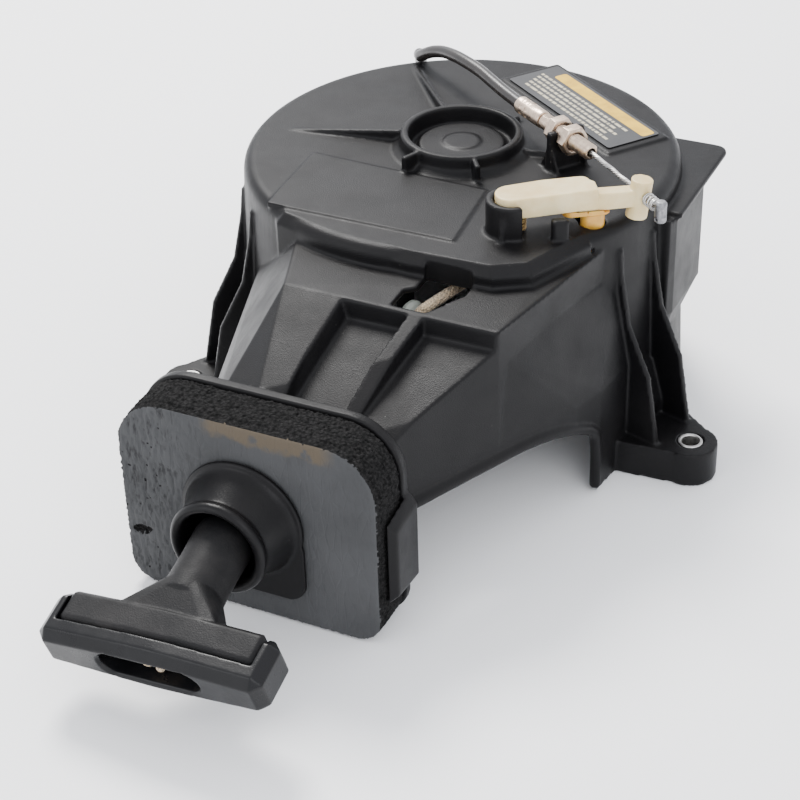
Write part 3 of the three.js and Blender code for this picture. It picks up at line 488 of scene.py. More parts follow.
def foam_cells():
    """Cut sides of the foam: black open cells."""
    m = Nodes("foam_cut", 0.95, Specular_IOR_Level=0.2)
    grains = m.cells(620)
    m.mottled(grains, 0.15, 0.75, (0.016, 0.015, 0.015), (0.0015, 0.0015, 0.0015))
    m.bump(m.noise(900, 6, 0.75), 0.0012)
    return m.bump(grains, 0.0009).material


def metal(name, bright, dull, rough=0.32, scale=300, turn_lines=0.0):
    m = Nodes(name, rough, 1.0)
    m.mottled(m.noise(scale, 5, 0.7), 0.35, 0.7, bright, dull)
    m.roughness(m.ramp(m.noise(scale * 1.7, 4), 0.3, 0.7, rough - 0.08, rough + 0.16))
    if turn_lines:
        m.bump(m.noise(1.0, 3, 0.5, m.scaled((200, 200, 5200))), turn_lines)
    return m.bump(m.noise(scale * 6, 3), 0.00003).material


def cream_nylon():
    """Aged cream nylon that lets light in a little, browner in patches."""
    m = Nodes("cream_nylon", 0.36, Subsurface_Weight=0.25, Subsurface_Scale=0.004)
    m.shader.inputs["Subsurface Radius"].default_value = (1.0, 0.7, 0.35)
    m.mottled(m.noise(55, 4, 0.6), 0.36, 0.68, (0.70, 0.59, 0.34), (0.58, 0.43, 0.19))
    m.roughness(m.ramp(m.noise(200, 4), 0.3, 0.7, 0.28, 0.46))
    return m.bump(m.noise(700, 3), 0.00006).material


# Painted shade: the lever's cream nylon as it looks in shadow, darker and more amber; the stopper gets it.
def amber():
    m = Nodes("amber", 0.3, Subsurface_Weight=0.35, Subsurface_Scale=0.003)
    m.mottled(m.noise(110, 4), 0.35, 0.7, (0.62, 0.34, 0.05), (0.45, 0.22, 0.03))
    return m.bump(m.noise(600, 3), 0.00006).material


def plain(name, light, dark, rough, scale=120, grain=0.00005):
    m = Nodes(name, rough)
    m.mottled(m.noise(scale, 4), 0.35, 0.7, light, dark)
    m.roughness(m.ramp(m.noise(scale * 2, 4), 0.3, 0.7, rough - 0.06, rough + 0.1))
    return m.bump(m.noise(scale * 9, 3), grain).material


def braid(name="rope"):
    """Braided rope: two sets of strands that cross, with stray fibres, and painted shade darkening the
    grooves between strands.
    """
    m = Nodes(name, 0.85, Sheen_Weight=0.3)
    strands = m.cells(1.0, "F1", m.scaled((900, 520, 900)))
    fibres = m.noise(1.0, 6, 0.75, m.scaled((2600, 1500, 2600)))
    # Painted shade: the strand colour runs darker towards the grooves between strands.
    tone = m.mix(m.ramp(strands, 0.1, 0.75), (0.62, 0.45, 0.27), (0.24, 0.15, 0.08))
    m.colour(m.mix(m.ramp(fibres, 0.4, 0.7), tone, (0.72, 0.60, 0.42)))
    m.bump(strands, -0.0012)
    return m.bump(fibres, 0.0003).material


PLASTIC = black_plastic()
SHELL = handle_plastic()
GRIP = grip_rubber()
SKIN = foam_skin()
CELLS = foam_cells()
GUIDE_PLASTIC = black_plastic("guide_plastic", 0.7, 0.36)
DRUM_PLASTIC = plain("drum_plastic", (0.05, 0.05, 0.055), (0.028, 0.028, 0.03), 0.48)
STEEL = metal("steel", (0.60, 0.59, 0.57), (0.36, 0.35, 0.34), 0.34)
DARK_STEEL = metal("spring_steel", (0.42, 0.42, 0.43), (0.2, 0.2, 0.21), 0.36)
ZINC = metal("yellow_zinc", (0.66, 0.54, 0.42), (0.42, 0.32, 0.26), 0.33, 420)
GREY_ZINC = metal("grey_zinc", (0.33, 0.33, 0.34), (0.17, 0.17, 0.18), 0.5, 500)
BRASS = metal("brass", (0.66, 0.46, 0.2), (0.36, 0.24, 0.1), 0.34, 400)
NYLON = cream_nylon()
NYLON_PAINTED_SHADE = amber()
WHITE = plain("white_nylon", (0.66, 0.69, 0.62), (0.46, 0.5, 0.44), 0.42)
SHEATH = plain("sheath", (0.018, 0.014, 0.012), (0.009, 0.0075, 0.007), 0.3, 90, 0.00004)
ROPE = braid()
FILM = plain("label_film", (0.017, 0.017, 0.019), (0.028, 0.028, 0.03), 0.4, 60, 0.00003)
YELLOW = plain("label_yellow", (0.66, 0.40, 0.012), (0.50, 0.29, 0.010), 0.55, 150, 0.00003)
CREAM_INK = plain("label_ink", (0.5, 0.45, 0.32), (0.34, 0.3, 0.22), 0.5, 300, 0.00002)

# ---------------------------------------------------------------- camera, floor and light
FOCAL = 90
CAMERA_AT = Vector((354.535, -806.780, 571.386))
YAW, PITCH, ROLL = 25.943, 33.889, -1.803


def camera():
    data = bpy.data.cameras.new("camera")
    data.lens, data.sensor_width = FOCAL, 36
    data.clip_start, data.clip_end = 0.05, 50
    obj = linked("camera", data)
    turn = rotation(YAW, "Z") @ rotation(90 - PITCH, "X") @ rotation(ROLL, "Z")
    obj.matrix_world = Matrix.Translation(DRUM_AXIS + CAMERA_AT * MM) @ turn
    bpy.context.scene.camera = obj


def area_light(name, at, target, size, power, tint=(1, 1, 1)):
    data = bpy.data.lights.new(name, "AREA")
    data.shape, data.size, data.energy, data.color = "DISK", size, power, tint
    obj = linked(name, data)
    obj.location = at
    obj.rotation_euler = (Vector(target) - Vector(at)).to_track_quat("-Z", "Y").to_euler()


def studio():
    bm = bmesh.new()
    bmesh.ops.create_grid(bm, x_segments=1, y_segments=1, size=6)
    floor = new_object("floor", bm)
    floor.location.z = -0.0004
    m = Nodes("floor", 0.7)
    m.colour((0.95, 0.95, 0.955))
    floor.data.materials.append(m.material)
    world = bpy.data.worlds.new("studio")
    world.use_nodes = True
    sky = world.node_tree.nodes["Background"]
    sky.inputs["Color"].default_value = (0.93, 0.95, 1.0, 1)
    sky.inputs["Strength"].default_value = 1.9
    bpy.context.scene.world = world
    area_light("key", (-0.9, 0.9, 1.7), (0, 0, 0.05), 0.8, 75, (1.0, 0.985, 0.96))
    area_light("fill", (1.3, -1.2, 1.3), (0, -0.1, 0.05), 1.3, 13, (0.95, 0.97, 1.0))
    area_light("front", (-0.9, -1.5, 0.9), (0, -0.2, 0.05), 1.0, 8)


camera()
studio()


# ---------------------------------------------------------------- control cable
def cable_axis(d):
    return CABLE_END + (CABLE_TIP - CABLE_END).normalized() * d


CABLE_DIRECTION = (CABLE_TIP - CABLE_END).normalized()
TIP_AT = (CABLE_TIP - CABLE_END).length
BOSS_AT = (Vector((BOSS.x, BOSS.y, CABLE_Z)) - CABLE_END).length
NIPPLE_AT = BOSS_AT + 16
WIRE_DROP = 4.2 / 55


def wire_point(d):
    p = cable_axis(d)
    return Vector((p.x, p.y, p.z - max(0, d - TIP_AT) * WIRE_DROP))


WIRE_HEADING = wire_point(TIP_AT + 2) - wire_point(TIP_AT + 1)

SHEATH_ROUTE = [(21.17, 23.72, 144), (9.6, 32.6, 144.2), (-1.2, 41.2, 144.8), (-11.3, 49.4, 145.2),
                (-21.4, 56.4, 145.2), (-31, 63.1, 144.4), (-40.6, 69.8, 142.3), (-48.4, 74.3, 139.3),
                (-54.3, 77.6, 135.8), (-58.8, 80.8, 132.6), (-61.6, 85.6, 131.1), (-63.6, 91, 127.6),
                (-66, 96.5, 120), (-70.5, 102, 106), (-80, 108, 84), (-90, 112, 62), (-98, 115, 42),
                (-105, 118.5, 22), (-109.5, 122.5, 8.6), (-110, 127.5, 4.0)]
COIL = {"at": Vector((-78, 150, 0)), "outer": 32, "inner": 18, "start": 206, "turns": 745 / 360 + 0.078}
TAIL_ROUTE = [(-94.5, 158, 10.2), (-97, 168, 10.2), (-98, 184, 10), (-98, 196, 6.6), (-98, 206.7, 4.6)]


def cable_line():
    coil = []
    count = 64
    for i in range(count + 1):
        t = i / count
        r = COIL["outer"] + (COIL["inner"] - COIL["outer"]) * t
        x, y = polar(r, COIL["start"] - 360 * COIL["turns"] * t)
        lift = max(0.0, (t - 0.86) / 0.14)
        coil.append(COIL["at"] + Vector((x, y, 3.4 + 6.8 * lift * lift * (3 - 2 * lift))))
    return spline([*SHEATH_ROUTE, *coil, *TAIL_ROUTE], 900)


def to_row(p):
    return DRUM_AXIS + Vector(p) * MM


def free_cable():
    line = [to_row(p) for p in cable_line()]
    data = bpy.data.curves.new("cable", "CURVE")
    data.dimensions = "3D"
    path = data.splines.new("POLY")
    path.points.add(len(line) - 1)
    for point, p in zip(path.points, line):
        point.co = (*p, 1)
    data.bevel_depth = CABLE_D / 2 * MM
    data.bevel_resolution = 5
    data.use_fill_caps = True
    cable = linked("cable", data)
    cable.data.materials.append(SHEATH)
    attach(cable, "cover")
    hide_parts("cable_sheath", "cable_coil", "cable_tail")


free_cable()


# ---------------------------------------------------------------- housing
def spout_top(y):
    t = max(0, (LEDGE_Y - y) / (LEDGE_Y - FLANGE_Y))
    return LEDGE_Z + t * (SPOUT_FRONT_Z - LEDGE_Z)


def spout_hull(inset, top):
    """Spout as a hull of four stations, rear to front; inset shrinks them for its inside."""
    low = -5 if inset else SPOUT_FLOOR_Z
    stations = [(-50, (-88, 60), (-80, 92), -58, 94, LEDGE_Z, LEDGE_Z),
                (-97, (-76, 56), (-62, 90), -38, 76, LEDGE_Z, LEDGE_Z),
                (LEDGE_Y, (-60, 60), (-51, 86), -28, 76, LEDGE_Z, LEDGE_Z - 1),
                (FLANGE_Y - (0.5 if inset else 0), (-46, 66), (-35, 86), -13, 50, SPOUT_FRONT_Z, 87)]
    points = []
    for y, left, slope, top_x, right, z, right_top in stations:
        points += [(left[0] + inset, y, low), (left[0] + inset, y, left[1] - inset),
                   (slope[0] + inset, y, slope[1] - inset), (top_x + inset, y, z - top),
                   (right - inset, y, right_top - top), (right - inset, y, low)]
    return hull(points)


FLARE = [(76, -135), (88, -110), (96, -92), (102, -74), (106, -47)]


def wall_flare(inset):
    """The spout's right wall swings out low down and runs into the front of the right foot."""
    low = -5 if inset else 0
    points = [(x, y, z) for x, y in FLARE for z in (low, 56)]
    points += [(x, y, z - inset) for x, y, z in ((75, -133, 104), (75, -97, 108), (96, -46, 100))]
    return hull([(x - 1.3 * inset, y + 0.5 * inset, z) for x, y, z in points])


def top_block(inset, top):
    outline = [(-66, -76), (-52, -96), (-22, -104), (20, -107), (60, -105), (75, -96), (90, -60), (0, 0)]
    points = []
    for x, y in outline:
        shrink = 1 - 4.5 / math.hypot(x, y + 20)
        points += [(x, y + inset, 60), (x, y + inset, top - 4.5),
                   (x * shrink, (y + 20) * shrink - 20 + inset, top)]
    return hull(points)


def cover():
    edge = [(COVER_R - COVER_EDGE + dr, COVER_TOP - COVER_EDGE + dz)
            for dr, dz in (polar(COVER_EDGE, a) for a in range(0, 91, 15))]
    return turned([(0, 0), (SKIRT_R, 0), (SKIRT_R - 0.6, 16), *edge, (0, COVER_TOP)])


def cover_inside():
    top = COVER_TOP - WALL
    r = COVER_R - WALL
    return turned([(0, -5), (SKIRT_R - WALL, -5), (r, top - 3), (r - 3, top), (0, top)])


def hub():
    parts = [turned([(0, COVER_TOP - 1), (33.5, COVER_TOP - 1), (33.5, COVER_TOP + 0.6),
                     (HUB_R + 0.6, COVER_TOP + 2.4), (HUB_R, HUB_TOP - 0.8), (HUB_R - 0.8, HUB_TOP),
                     (26.6, HUB_TOP), (26, HUB_TOP - 0.6), (25.4, 127), (22, 127),
                     (21, 130.8), (9.4, 130.8), (8.8, 131.6), (0, 131.6)])]
    ribs = [(8, 44, 130.4), (68, 40, 131), (128, 98, 134), (189, 88, 134), (247.5, 39, 136.2),
            (305, 38, 136.2)]
    for deg, reach, z in ribs:
        w, near, foot = 1.6, HUB_R - 2, 127
        low = COVER_TOP + 0.2 if reach > 50 else z
        points = []
        for s in (-w, w):
            points += [(near, s, foot), (reach, s, foot), (near, s * 0.8, z), (reach, s * 0.8, low)]
        parts.append(place(hull(points), (0, 0, deg)))
    return join(parts)


def foot(name):
    deg = FOOT_ANGLES[name]
    outline = arc(FOOT_OFFSET, 0, FOOT_R, -90, 90, 24) + [(108, 27), (100, 27), (100, -27), (108, -27)]
    parts = [prism(outline, 0, FOOT_T)]
    fin = [(98, 114), (108, 114), (109.5, 100), (114.5, 76), (127, 52), (133.5, FOOT_T), (133.5, 10),
           (98, 10)]
    parts += [standing(fin, side - 1.5, side + 1.5) for side in (-12.6, 12.6)]
    block = [(104, 0), (118, 0), (104, 48), (111.5, 46), (118, 26)]
    parts.append(hull([(x, y, z) for x, z in block for y in (-14, 14)]))
    return place(join(parts), (0, 0, deg))


def shelf():
    """Plate beside the cover's top, with the hollow box under it."""
    plate = [(60, -6), (115.5, -8), *arc(108.5, 61, 7, 0, 90), (60, 68)]
    pod = [(80, -14), (112, -14), (113.6, -8), (113.6, 33), (104, 46), (80, 46)]
    lower = [*((x, y, 64.5) for x, y in pod), (80, -10, 44), (108, -10, 44), (104, 38, 44), (80, 40, 44)]
    return join([prism(plate, 115.4, 118.2), prism(pod, 64, 116), hull(lower)])


def shelf_inside():
    plan = [(80, -11), (109.5, -11), (110.6, -7), (110.6, 31.5), (102.5, 42.8), (80, 42.8)]
    return prism(plan, 62, 113)


def pads():
    left = prism([(-61, -88), (34, -88), (29, -38), (-64, -34)], COVER_TOP - 2, COVER_TOP + 0.8)
    right = place(prism(rounded_rect(*LABEL["size"], 1.5, 4), COVER_TOP - 4, COVER_TOP + 1.2),
                  (0, 0, LABEL["deg"]), (*LABEL["at"], 0))
    return join([left, right])


def flange_outline(grow=0):
    x0, x1 = FLANGE_X[0] - grow, FLANGE_X[1] + grow
    z0, z1 = FLANGE_Z[0], FLANGE_Z[1] + grow
    top, low = 26 + grow, 12
    return (arc(x1 - low, z0 + low, low, -90, 0) + arc(x1 - top, z1 - top, top, 0, 90, 20)
            + arc(x0 + top, z1 - top, top, 90, 180, 20) + arc(x0 + low, z0 + low, low, 180, 270))


def flange():
    x = FLANGE_X[1]
    tab = hull([(x + 0.3, -213, 20), (x + 4.5, -211, 24), (x + 0.3, -213, 62), (x + 4.5, -211, 58),
                (x + 4.5, -190, 22), (x + 4.5, -190, 60), (x + 0.3, -190, 16), (x + 0.3, -190, 66)])
    parts = [standing(flange_outline(), FLANGE_Y - FLANGE_T, FLANGE_Y), tab,
             box(x - 5, x + 4, FLANGE_Y - FLANGE_T, FLANGE_Y, 22, 60)]
    for gx in (-51, 42):
        side = [(-189, 8), (-191, 60), (-158, 48), (-158, 60)]
        parts.append(hull([(gx + s, y, z) for y, z in side for s in (-1.5, 1.5)]))
    return join(parts)


RIB_REAR, RIB_FRONT = (33.5, 41), (24.5, 31.5)


def pockets():
    """Sunk panels either side of the rope rib on the spout's top."""
    rear, front, above = LEDGE_Y - 2, FLANGE_Y, 130
    rear_z, front_z = spout_top(rear) - SPOUT_DROP, spout_top(front) - SPOUT_DROP
    panels = []
    for side, rear_x, front_x, rear_up, front_up in ((1, 90, 90, 90, 90), (0, 4, 0, -3, -5)):
        panels.append(hull([(RIB_REAR[side], rear, rear_z), (RIB_FRONT[side], front, front_z),
                            (rear_x, rear, rear_z), (front_x, front, front_z),
                            (RIB_REAR[side], rear + 2, above), (rear_up, rear + 2, above),
                            (RIB_FRONT[side], front, above), (front_up, front, above)]))
    return panels


def spout_ledge_inside():
    plan = [(-38, -84), (73, -96), (73, -131), (-22, -131), (88, -60)]
    return hull([(x, y, z) for x, y in plan for z in (60, LEDGE_Z - WALL)])


def roller_place(obj):
    x, y, z = ROLLER["at"]
    return place(place(obj, (0, 90, 0)), (0, 0, ROLLER["deg"]), (x, y, z))


def roller_cheeks():
    x, y, z = ROLLER["at"]
    thick = 3.2
    cheeks = []
    for side in (-1, 1):
        c = side * (ROLLER["half"] + 0.8 + thick / 2)
        cheeks.append(place(box(c - thick / 2, c + thick / 2, -6, 6, z - 7, LEDGE_Z - 1),
                            (0, 0, ROLLER["deg"]), (x, y, 0)))
    return cheeks


def lever_seat():
    """Open cup round the lever's pivot, its spine, the pivot stem and the stop peg."""
    wall = arc(0, 0, 11.8, 150, 318, 30) + arc(0, 0, 8.3, 318, 150, 30)
    spine = hull([(-1.3, -11, 126), (1.3, -11, 126), (-1.3, -14.5, 126), (1.3, -14.5, 126), (-1, -11, 143.5),
                  (1, -11, 143.5)])
    at = (PIVOT.x, PIVOT.y, 0)
    return [place(prism(wall, COVER_TOP - 2, 144.5), at=at), place(spine, at=(at[0] + 0.5, at[1], 0)),
            post(at[0], at[1], COVER_TOP - 2, LEVER_TOP - LEVER_T - 1.4, 4.6),
            place(prism(rounded_rect(8, 5, 1.5, 5), COVER_TOP - 3, 138.2), (0, 0, 33), (77.5, -68, 0))]


def cable_bracket():
    deg = math.degrees(math.atan2(CABLE_DIRECTION.y, CABLE_DIRECTION.x))
    at = cable_axis(BRACKET_AT)
    parts = [box(-2.2, 2.2, -9, 9, 126, CABLE_Z - 4.6)]
    for side in (-1, 1):
        c = side * 7.5
        parts.append(hull([(s * 2.2, c + t * 2.6, 126) for s in (-1, 1) for t in (-1, 1)]
                          + [(s * 1.8, c + t * 2.2, 147.5) for s in (-1, 1) for t in (-1, 1)]))
        parts.append(hull([(x, side * y, z) for x, z in ((-9, 126), (9, 126), (-1.5, 140), (1.5, 140))
                           for y in (7.6, 9)]))
    return [place(p, (0, 0, deg), (at.x, at.y, 0)) for p in parts]


def tongue_slot():
    reach = (TONGUE - PIVOT).length
    start = math.degrees(math.atan2(TONGUE.y - PIVOT.y, TONGUE.x - PIVOT.x))
    end = start + SWING
    half = TONGUE_HALF[0] + 0.7
    outline = (arc(0, 0, reach + half, start, end) + arc(*polar(reach, end), half, end, end + 180)
               + arc(0, 0, reach - half, end, start)
               + arc(*polar(reach, start), half, start + 180, start + 360))
    return place(prism(outline, 100, 140), at=(PIVOT.x, PIVOT.y, 0))


def arch_lip():
    """Raised bead along the spout's lower edge and round the arch's end to the foot."""
    z = SPOUT_FLOOR_Z + 0.6
    line = [(51, -188, z), (63, -162, z), (75.6, -135, z), (79.5, -126.5, z)]
    for deg in range(85, -1, -12):
        x, drop = 81 + 20 * math.cos(math.radians(deg)), 20 * (1 - math.sin(math.radians(deg)))
        before, after = next((a, b) for a, b in zip(FLARE, FLARE[1:]) if b[0] >= x)
        y = before[1] + (after[1] - before[1]) * (x - before[0]) / (after[0] - before[0])
        line.append((x - 0.4, y, z - drop))
    line += [(101, -76, 20), (101, -76, 8), (101, -76, 3)]
    return tube(spline(line, 120, 0.4), 2.8, 12)


HOLE = [(28, -104), (50.5, -104), (50.5, -114), (40, -132.5), (23.5, -132.5), (23.5, -119), (28, -115)]


def housing():
    body = join([cover(), top_block(0, COVER_TOP), spout_hull(0, 0), wall_flare(0), shelf(),
                 *map(foot, FOOT_ANGLES)])
    arch = place(standing(rounded_rect(178, 2 * SPOUT_FLOOR_Z - 1, 20), -215, -45), at=(12, 0, 0))
    body = cut(body, [*pockets(), cover_inside(), top_block(3.2, COVER_TOP - WALL),
                      spout_hull(WALL, SPOUT_DROP + 3.5), wall_flare(WALL), spout_ledge_inside(),
                      shelf_inside(), arch])
    body = join([body, arch_lip(), flange(), hub(), pads(), *lever_seat(), *cable_bracket(), *roller_cheeks(),
                 post(0, 0, 92, 127, 9), post(0, 49, 107.5, 126, 2.2),
                 turned([(0, 120.5), (15, 122), (15, 127), (0, 127)], 48)])
    bores = [post(*polar(FOOT_OFFSET, deg), -1, FOOT_T + 1, 6.3) for deg in FOOT_ANGLES.values()]
    guide_hole = place(standing(arc(0, 0, 15.3, 0, 350, 35), -200, -180), at=(ROPE_OUT[0], 0, ROPE_OUT[1]))
    body = cut(body, [*bores, prism(HOLE, 100, 140), tongue_slot(), post(0, 0, 80, 116, 3.3),
                      post(PIVOT.x, PIVOT.y, 124, 140, 2.5),
                      guide_hole, roller_place(post(0, 0, -30, 30, 2.4))])
    return moulded(body, VOXEL, 3)


def in_cad_box(obj, node):
    """Holds every point of a remeshed piece inside the box of the CAD node that it replaces."""
    low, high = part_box(node)
    for vertex in obj.data.vertices:
        vertex.co = Vector([min(max(value, a), b) for value, a, b in zip(vertex.co, low, high)])


shell = piece(housing(), "housing_shell", PLASTIC, "cover", "housing", slot="black_plastic")
in_cad_box(shell, "housing")


# ---------------------------------------------------------------- foam seal
def guide_place(obj):
    return place(obj, (90, 0, 0), (ROPE_OUT[0], 0, ROPE_OUT[1]))


FOAM_FRONT = FLANGE_Y - FLANGE_T - FOAM_T


def foam_seal():
    """Open-cell foam with a closed front skin: crumbly sides, a ragged front edge and a small torn hole."""
    back = FLANGE_Y - FLANGE_T - 0.3
    body = standing(flange_outline(-1.2), FOAM_FRONT + 1.1, back - 0.4)
    tear_at = (FLANGE_X[0] + 9, FOAM_FRONT, 29)
    tear = hull([(tear_at[0] + dx, tear_at[1] + dy, tear_at[2] + dz) for dx, dz in
                 ((-6, -1), (-2, 2.4), (1.5, 0.8), (6, 2), (2.5, -1.6), (-1, -2.8)) for dy in (-2, 3)])
    crack_line = [(x, FOAM_FRONT + 0.8, z) for x, z in ((-34, 46), (-31, 41), (-33, 35), (-30.5, 30))]
    crack = tube(spline(crack_line, 16), 0.7, 8)
    body = cut(body, [guide_place(post(0, 0, 180, 240, 16.8, sides=64)), tear, crack])
    body = moulded(body, VOXEL, 2)
    mesh = body.data
    front = FOAM_FRONT + 1.1
    for v in mesh.vertices:
        x, y, z = v.co
        n = v.normal
        skin = min(1, max(0, (front + 1.2 - y) / 1.2))
        rough = noise.noise((x * 0.9, y * 0.9, z * 0.9)) + 0.7 * noise.noise((x * 2.1, y * 2.1, z * 2.1))
        edge = min(1, abs(noise.noise((x * 0.25, 7, z * 0.25))) * 2.4)
        crumble = 0.75 * rough * (1 - skin) + skin * 0.08 * rough
        left = min(1, max(0, (-18 - x) / 30))
        crease = abs(noise.noise((x * 0.42 + 0.1 * z * 0.3, 3, z * 0.09)))
        deep = left * max(0, 0.16 - crease) * 4.2 if skin > 0.8 and n.y < -0.7 else 0
        lost = edge * 0.9 * (1 - abs(n.y)) * (1 if y < front + 5 else 0)
        v.co = v.co + n * (crumble - deep - lost)
    mesh.materials.clear()
    mesh.materials.append(SKIN)
    mesh.materials.append(CELLS)
    for face in mesh.polygons:
        x, y, z = face.center
        ragged = 0.9 + 0.9 * noise.noise((x * 0.8, 1, z * 0.8))
        face.material_index = 0 if y < front + ragged and face.normal.y < -0.45 else 1
    return body


foam = piece(foam_seal(), "foam_block", None, "cover", "foam_seal", slot="foam")


# ---------------------------------------------------------------- rope guide
def rope_guide():
    face = -FOAM_FRONT
    bore = [(9.5, 186), (6, 189), (4.5, 194), (4.5, 205), (9, 215), (14, 222), (17, 227), (17.5, 233),
            (17.7, 242.2), (18.3, 243.8), (19.4, 244.8)]
    rim = [(19.9 + 2.9 * c, 242.2 + 2.9 * s) for c, s in (polar(1, a) for a in range(75, -61, -15))]
    outside = [(21.3, 239.2), (20.9, 238.2), (21.4, 236.6), (24.6, 228), (26, 224.6), (27.1, face + 2.7),
               (28.8, face + 2.2), (29.4, face + 1.6), (29.4, face), (14.6, face), (14.6, 186)]
    funnel = guide_place(turned([*bore, *rim, *outside], 128))
    tail = guide_place(prism(rounded_rect(58.8, 37, 10), face, face + 2.2))
    tail = cut(place(tail, at=(0, 0, -18.5)), [guide_place(post(0, 0, 180, 240, 24, sides=96))])
    return moulded(join([funnel, tail]), FINE_VOXEL + 0.05, 2)


piece(rope_guide(), "guide_funnel", GUIDE_PLASTIC, "cover", "rope_guide", slot="handle_plastic")


# ---------------------------------------------------------------- handle
def handle_place(obj):
    place(obj, (0, 0, HANDLE_ROLL))
    return place(obj, (90 + HANDLE_SAG, 0, 0), NECK_END)


def handle_point(z):
    sag = math.radians(HANDLE_SAG)
    return NECK_END + Vector((0, -z * math.cos(sag), -z * math.sin(sag)))


def crossbar(half, end_y, mid_y, z0, z1, edge):
    """Bar across the neck's end, a little deeper in its middle."""
    waist = [(k, end_y + (mid_y - end_y) * math.cos(math.pi * k / (2 * half)) ** 2) for k in range(0, 41, 10)]
    rim = [(half, end_y - edge), (half - edge, end_y), *waist]
    faces = [(half - edge, end_y - edge), *((x, y - edge) for x, y in waist)]
    points = []
    for sx in (-1, 1):
        for sy in (-1, 1):
            points += [(sx * x, sy * y, z) for x, y in rim for z in (z0 + edge, z1 - edge)]
            points += [(sx * x, sy * y, z) for x, y in faces for z in (z0, z1)]
    return hull(points)


def handle_frame():
    block = crossbar(HANDLE_HALF, 10.6, 13, 51, 76, 4.2)
    room = box(-GRIP_HALF - 0.3, GRIP_HALF + 0.3, -20, 20, 40, 66.3)
    slot = prism(rounded_rect(*SLOT, 6.6, 14), 60, 80)
    dish = prism(rounded_rect(SLOT[0] + 2.4, SLOT[1] + 2.4, 7.7, 14), 75.1, 80)
    return handle_place(moulded(cut(block, [room, slot, dish]), FINE_VOXEL, 2))


def handle_grip():
    neck = turned([(0, 0), (9.5, 0), (11.4, 0.9), (12.4, 2.6), (13.2, 5.2), (13.5, 8), (13.1, 20), (13.3, 30),
                   (13.8, 40), (0, 46)], 72)
    points = [(*polar(13.2, a), 34) for a in range(0, 360, 12)]
    points += [(sx * x, sy * y, z) for x, y, z in ((25, 10.5, 53.5), (20, 11.5, 56))
               for sx in (-1, 1) for sy in (-1, 1)]
    bar = crossbar(GRIP_HALF, 10.8, 12.8, 50.5, 66, 2)
    chamber = prism(rounded_rect(SLOT[0], SLOT[1] + 2, 7), KNOT_FLOOR, 70)
    body = cut(join([neck, hull(points), bar]), [chamber, post(0, 0, -2, 62, 3.4)])
    return handle_place(moulded(body, FINE_VOXEL, 4))


def knot():
    """Overhand knot of the rope, pulled down tight."""
    line = []
    for i in range(97):
        a = 2 * math.pi * i / 96 * 0.965
        line.append(((math.sin(a) + 2 * math.sin(2 * a)) * 1.75, (math.cos(a) - 2 * math.cos(2 * a)) * 1.2,
                     KNOT_FLOOR + 7.9 - 2.6 * math.sin(3 * a)))
    return handle_place(tube(line, 2.1, 14))


piece(handle_frame(), "handle_shell", SHELL, "handle", "handle_frame", slot="handle_plastic")
piece(handle_grip(), "handle_grip_moulding", GRIP, "handle", "handle_grip", slot="grip_rubber")
piece(knot(), "knot", ROPE, "handle", "rope_knot", slot="rope")


# ---------------------------------------------------------------- rope
def rope_run():
    rx, ry, rz = ROLLER["at"]
    lift = rz + ROLLER["r"] + ROPE_D / 2 + 0.4
    tx, ty = polar(ROPE_R, -14)
    ux, uy = -math.sin(math.radians(14)), -math.cos(math.radians(14))
    line = [(tx + ux * 27, ty + uy * 27, ROPE_Z), (tx + ux * 60, ty + uy * 60, ROPE_Z),
            (rx + 0.6, ry + 4, lift + 0.1), (rx - 1.2, ry - 2, lift - 0.2), (rx - 3.6, ry - 6.6, lift - 2.2),
            (rx - 16, ry - 30, lift - 19.5), (ROPE_OUT[0] + 3.2, -181, ROPE_OUT[1] + 5),
            (ROPE_OUT[0] + 0.2, -188.5, ROPE_OUT[1] + 0.6), (ROPE_OUT[0], -197.6, ROPE_OUT[1])]
    return tube(spline(line, 160), ROPE_D / 2, 16)


def rope_span():
    x, z = ROPE_OUT
    line = [(x, -198, z), (x, -212, z + 0.6), *map(handle_point, (-8, -2, 10, 30, KNOT_FLOOR + 1.6))]
    return tube(spline(line, 220), ROPE_D / 2, 16)


piece(rope_run(), "rope_inside", ROPE, "cover", "rope_run", slot="rope")
span = piece(rope_span(), "rope_outside", ROPE, None, "rope_span", slot="rope")
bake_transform(span)


# ---------------------------------------------------------------- small parts
def merged(name, *parts):
    """One mesh from several separate ones that keep their own materials."""
    bm = bmesh.new()
    materials = []
    for obj, material in parts:
        first = len(bm.faces)
        bm.from_mesh(obj.data)
        bm.faces.ensure_lookup_table()
        if material not in materials:
            materials.append(material)
        for face in bm.faces[first:]:
            face.material_index = materials.index(material)
            face.smooth = True
        bpy.data.objects.remove(obj)
    whole = new_object(name, bm)
    for material in materials:
        whole.data.materials.append(material)
    return smooth_shaded(whole)


def guide_clip():
    """Push-on spring ring with a split and three gripping tongues, behind the flange."""
    back = -FLANGE_Y
    ring = turned([(r, back - depth) for r, depth in
                   ((15.4, 1.6), (15.9, 2.2), (19.1, 2.2), (19.5, 1.8), (19.5, 0.3), (19, 0.3), (18.4, 0.9),
                    (14.9, 0.9))], 96)
    notches = [place(box(13, 17.4, -0.5, 0.5, back - 3, back), (0, 0, a)) for a in range(30, 390, 60)]
    return guide_place(bevelled(cut(ring, [*notches, box(13, 21, -1.4, 1.4, back - 3, back)]), 0.12))


